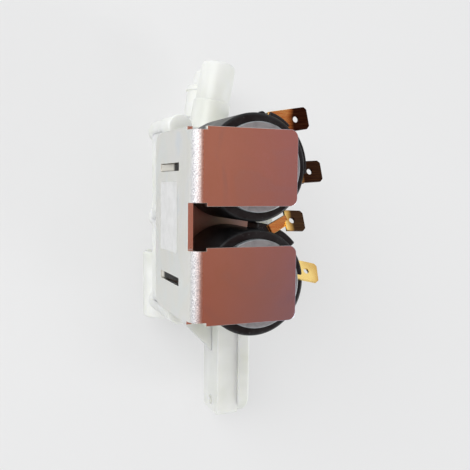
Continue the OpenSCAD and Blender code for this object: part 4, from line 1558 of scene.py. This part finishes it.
@dataclass
class Cover:
    """The cover moulding over both chambers, and the six screws that hold it."""

    plate_t: float = 4.0
    bonnet_r: float = 13.0
    bonnet_h: float = 6.5
    tube_r: float = 5.08
    tube_in_r: float = 4.08
    tube_tip_z: float = 64.3
    tube_in_z: float = 63.1
    control_h: float = 4.9
    chamber_r: float = 11.0
    screw_r: float = 1.5
    head_r: float = 2.8
    head_h: float = 1.8
    screw_len: float = 18.0
    head_flat: float = 0.35
    cross_share: float = 0.62
    cross_half: float = 0.42
    cross_depth: float = 0.6
    nylon: NaturalNylon = NaturalNylon(
        "cover_nylon", thin=(0.88, 0.89, 0.87), thick=(0.74, 0.76, 0.70)
    )
    steel: PlainSteel = PlainSteel("screw_steel")

    def bonnet(self) -> Shape:
        """A bonnet with its guide tube, hollow as the CAD part is."""
        z = PLACES.joint_z
        profile = [
            (self.chamber_r, z), (self.bonnet_r, z), (self.bonnet_r, z + self.bonnet_h),
            (self.tube_r, z + self.bonnet_h), (self.tube_r, self.tube_tip_z), (0, self.tube_tip_z),
        ]
        inner = [
            (0, self.tube_in_z), (self.tube_in_r, self.tube_in_z), (self.tube_in_r, z + self.control_h),
            (self.chamber_r, z + self.control_h), (self.chamber_r, z),
        ]
        bm = lathe(profile + inner, steps=96)
        round_edges(bm, 0.35, 3, 60)
        return bm

    def cover_plate(self) -> Shape:
        """The cover plate with its two chamber openings."""
        holes = [circle((PLACES.coil_x, PLACES.station_y(s)), self.bonnet_r - 0.5, 64) for s in Station]
        low, high = PLACES.joint_z + PLACES.joint_gap, PLACES.joint_z + self.plate_t
        bm = plate(PLACES.deck_outline(), low, high, holes)
        round_edges(bm, 0.5, 3)
        return bm

    def post(self) -> Shape:
        """One post above the joint, with a rounded top."""
        r, low, high = PLACES.post_r, PLACES.joint_z, PLACES.post_top_z
        bm = lathe([(0, low), (r, low), (r, high), (0, high)], steps=48)
        round_edges(bm, 0.5, 3)
        return bm

    def screw(self) -> Shape:
        """One pan-head screw with a cross recess, its head downwards."""
        seat = PLACES.joint_z - PLACES.post_down
        tip, r, flat = seat + self.screw_len, self.screw_r, self.head_flat
        profile = [(0, seat - self.head_h)]
        for angle in (0.5, 0.8, 1.1, 1.35, 1.571):
            rise = flat + (1 - flat) * math.cos(angle)
            profile.append((self.head_r * math.sin(angle), seat - self.head_h * rise))
        profile += [(self.head_r, seat), (r, seat), (r, tip - 1), (r * 0.5, tip), (0, tip)]
        return lathe(profile, steps=48)

    def recess(self) -> Shape:
        """The dark cross of a screw's recess, let into the head."""
        arm, half = self.head_r * self.cross_share, self.cross_half
        cross: list[Point] = []
        for cos, sin in ((1, 0), (0, 1), (-1, 0), (0, -1)):
            quarter = ((arm, -half), (arm, half), (half, half))
            cross += [(x * cos - y * sin, x * sin + y * cos) for x, y in quarter]
        low = PLACES.joint_z - PLACES.post_down - self.head_h
        bm = plate(cross, low - 0.01, low + self.cross_depth)
        bottom = [f for f in bm.faces if f.normal.z < -0.5]
        bmesh.ops.inset_region(bm, faces=bottom, thickness=0.16, depth=0, use_even_offset=True)
        verts = list({v for f in bottom for v in f.verts})
        bmesh.ops.translate(bm, verts=verts, vec=(0, 0, self.cross_depth - 0.1))
        return bm

    def build(self) -> None:
        """Builds the cover and the screws."""
        piece = Piece("valve_lid").add(self.cover_plate())
        for station in Station:
            piece.add(self.bonnet(), PLACES.at(station))
        for x, y in PLACES.posts():
            piece.add(self.post(), shift(x, y))
        piece.finish(self.nylon, "cover_nylon", ["valve_cover"])
        screws = Piece("lid_screws")
        for x, y in PLACES.posts():
            screws.add(self.screw(), shift(x, y)).add(self.recess(), shift(x, y))
        screws.finish(self.steel, "screw_steel", ["cover_screws"])


@dataclass
class HiddenParts:
    """Finishes for the CAD nodes whose shape is kept."""

    nodes: dict[str, bpy.types.Object]
    finishes: dict[str, Finish] = field(
        default_factory=lambda: {
            "inlet_filter": NaturalNylon(
                "filter_nylon", thin=(0.80, 0.62, 0.30), thick=(0.62, 0.44, 0.18), glow=0.3
            ),
            "flow_regulator": Rubber("regulator_rubber"),
            "regulator_holder": NaturalNylon("holder_nylon", glow=0.2),
            "bobbin": NaturalNylon(
                "bobbin_nylon", thin=(0.84, 0.82, 0.74), thick=(0.70, 0.67, 0.56), glow=0.2
            ),
            "winding": CopperWire("copper_winding"),
            "pole_sleeve": PlainSteel("sleeve_steel"),
            "plunger": PlainSteel("plunger_steel", roughness=0.2),
            "plunger_seal": Rubber("seal_rubber"),
            "plunger_spring": PlainSteel("spring_steel", base=(0.72, 0.73, 0.74)),
            "diaphragm": Rubber("diaphragm_rubber"),
            "diaphragm_core": NaturalNylon(
                "core_nylon", thin=(0.86, 0.83, 0.75), thick=(0.74, 0.70, 0.60), glow=0.2
            ),
        }
    )

    def dress(self) -> None:
        """Gives every kept node its finish."""
        for name, node in self.nodes.items():
            kind = name.removeprefix("upper_").removeprefix("lower_")
            if kind not in self.finishes:
                continue
            node.data.materials.clear()
            node.data.materials.append(self.finishes[kind].material())
            LOG.info("%s: dressed", name)


# ---------------------------------------------------------------- the studio


@dataclass
class Studio:
    """Floor, lamps, surroundings and the camera of the photograph."""

    floor_z: float = -14.3
    floor_half: float = 4000.0
    eye: Point3 = (-105.7, 36.4, 220.6)
    yaw: float = 22.06
    pitch: float = 4.70
    roll: float = 0.63
    lens: float = 47.49
    daylight: float = 0.55
    backdrop: Colour = (0.845, 0.845, 0.845)
    room: tuple[tuple[float, Colour], ...] = (
        (0.0, (0.86, 0.86, 0.85)),
        (0.45, (0.95, 0.95, 0.96)),
        (0.66, (0.92, 0.92, 0.95)),
        (0.76, (0.36, 0.24, 0.25)),
        (0.84, (0.40, 0.135, 0.095)),
        (1.0, (0.44, 0.15, 0.10)),
    )

    def floor(self) -> None:
        """Lays the pale floor under the valve."""
        bm = bmesh.new()
        bmesh.ops.create_grid(bm, x_segments=8, y_segments=8, size=self.floor_half * MM)
        bmesh.ops.translate(bm, verts=bm.verts, vec=(0, 0, self.floor_z * MM))
        mesh = bpy.data.meshes.new("floor")
        bm.to_mesh(mesh)
        bm.free()
        mesh.materials.append(PaleStage("pale_floor").material())
        floor = bpy.data.objects.new("floor", mesh)
        bpy.context.scene.collection.objects.link(floor)

    def lamp(self, name: str, place: Point3, aim: Point3, size_mm: float, watts: float) -> None:
        """Hangs one soft square lamp.

        Args:
            name: its name.
            place: where it hangs, in millimetres.
            aim: the point it faces, in millimetres.
            size_mm: the side of its square.
            watts: its power.
        """
        light = bpy.data.lights.new(name, "AREA")
        light.shape = "SQUARE"
        light.size = size_mm * MM
        light.energy = watts
        lamp = bpy.data.objects.new(name, light)
        bpy.context.scene.collection.objects.link(lamp)
        lamp.location = Vector(place) * MM
        lamp.rotation_mode = "QUATERNION"
        lamp.rotation_quaternion = (Vector(aim) - Vector(place)).to_track_quat("-Z", "Y")

    def surroundings(self) -> None:
        """Sets the world: pale to the camera, neutral as light, and a room with a warm ceiling in mirrors."""
        world = bpy.data.worlds.new("room")
        bpy.context.scene.world = world
        graph = Graph(world)
        up = graph.node("SeparateXYZ", {0: graph.node("TexCoord").outputs["Generated"]}).outputs[2]
        room = graph.node("Background", {0: graph.ramp(up, self.room), 1: 1.0})
        plain = graph.node("Background", {0: (0.97, 0.98, 1.0), 1: self.daylight})
        pale = graph.node("Background", {0: self.backdrop, 1: 1.0})
        rays = graph.node("LightPath").outputs
        lit = {0: rays["Is Glossy Ray"], 1: plain.outputs[0], 2: room.outputs[0]}
        seen = {0: rays["Is Camera Ray"], 1: graph.node("MixShader", lit).outputs[0], 2: pale.outputs[0]}
        graph.put(graph.output.inputs["Surface"], graph.node("MixShader", seen).outputs[0])

    def camera(self) -> None:
        """Stands the camera where the photograph was taken from."""
        cy, sy = math.cos(math.radians(self.yaw)), math.sin(math.radians(self.yaw))
        cp, sp = math.cos(math.radians(self.pitch)), math.sin(math.radians(self.pitch))
        cr, sr = math.cos(math.radians(self.roll)), math.sin(math.radians(self.roll))
        about_y = Matrix(((cy, 0, sy), (0, 1, 0), (-sy, 0, cy)))
        about_x = Matrix(((1, 0, 0), (0, cp, -sp), (0, sp, cp)))
        about_z = Matrix(((cr, sr, 0), (-sr, cr, 0), (0, 0, 1)))
        rows = about_z @ about_x @ about_y
        data = bpy.data.cameras.new("camera")
        data.sensor_width = 36.0
        data.lens = self.lens
        data.clip_start = 0.01
        data.clip_end = 50.0
        camera = bpy.data.objects.new("camera", data)
        bpy.context.scene.collection.objects.link(camera)
        camera.matrix_world = Matrix.Translation(Vector(self.eye) * MM) @ rows.transposed().to_4x4()
        bpy.context.scene.camera = camera

    def build(self) -> None:
        """Builds the whole studio."""
        self.floor()
        self.surroundings()
        middle = (-40.0, 15.0, 30.0)
        self.lamp("key", (-620, 420, 700), middle, 700, 6)
        self.lamp("fill", (900, -500, 330), middle, 500, 5)
        self.camera()
        bpy.context.scene.view_settings.view_transform = "Standard"


def main() -> None:
    """Builds the studio and every sub-assembly."""
    logging.basicConfig(level=logging.INFO, format="%(name)s: %(message)s")
    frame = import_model()
    Studio().build()
    HiddenParts(frame["nodes"]).dress()
    Yoke().build()
    UPPER_COIL.build()
    LOWER_COIL.build()
    Body().build()
    Cover().build()


if __name__ == "__main__":
    main()
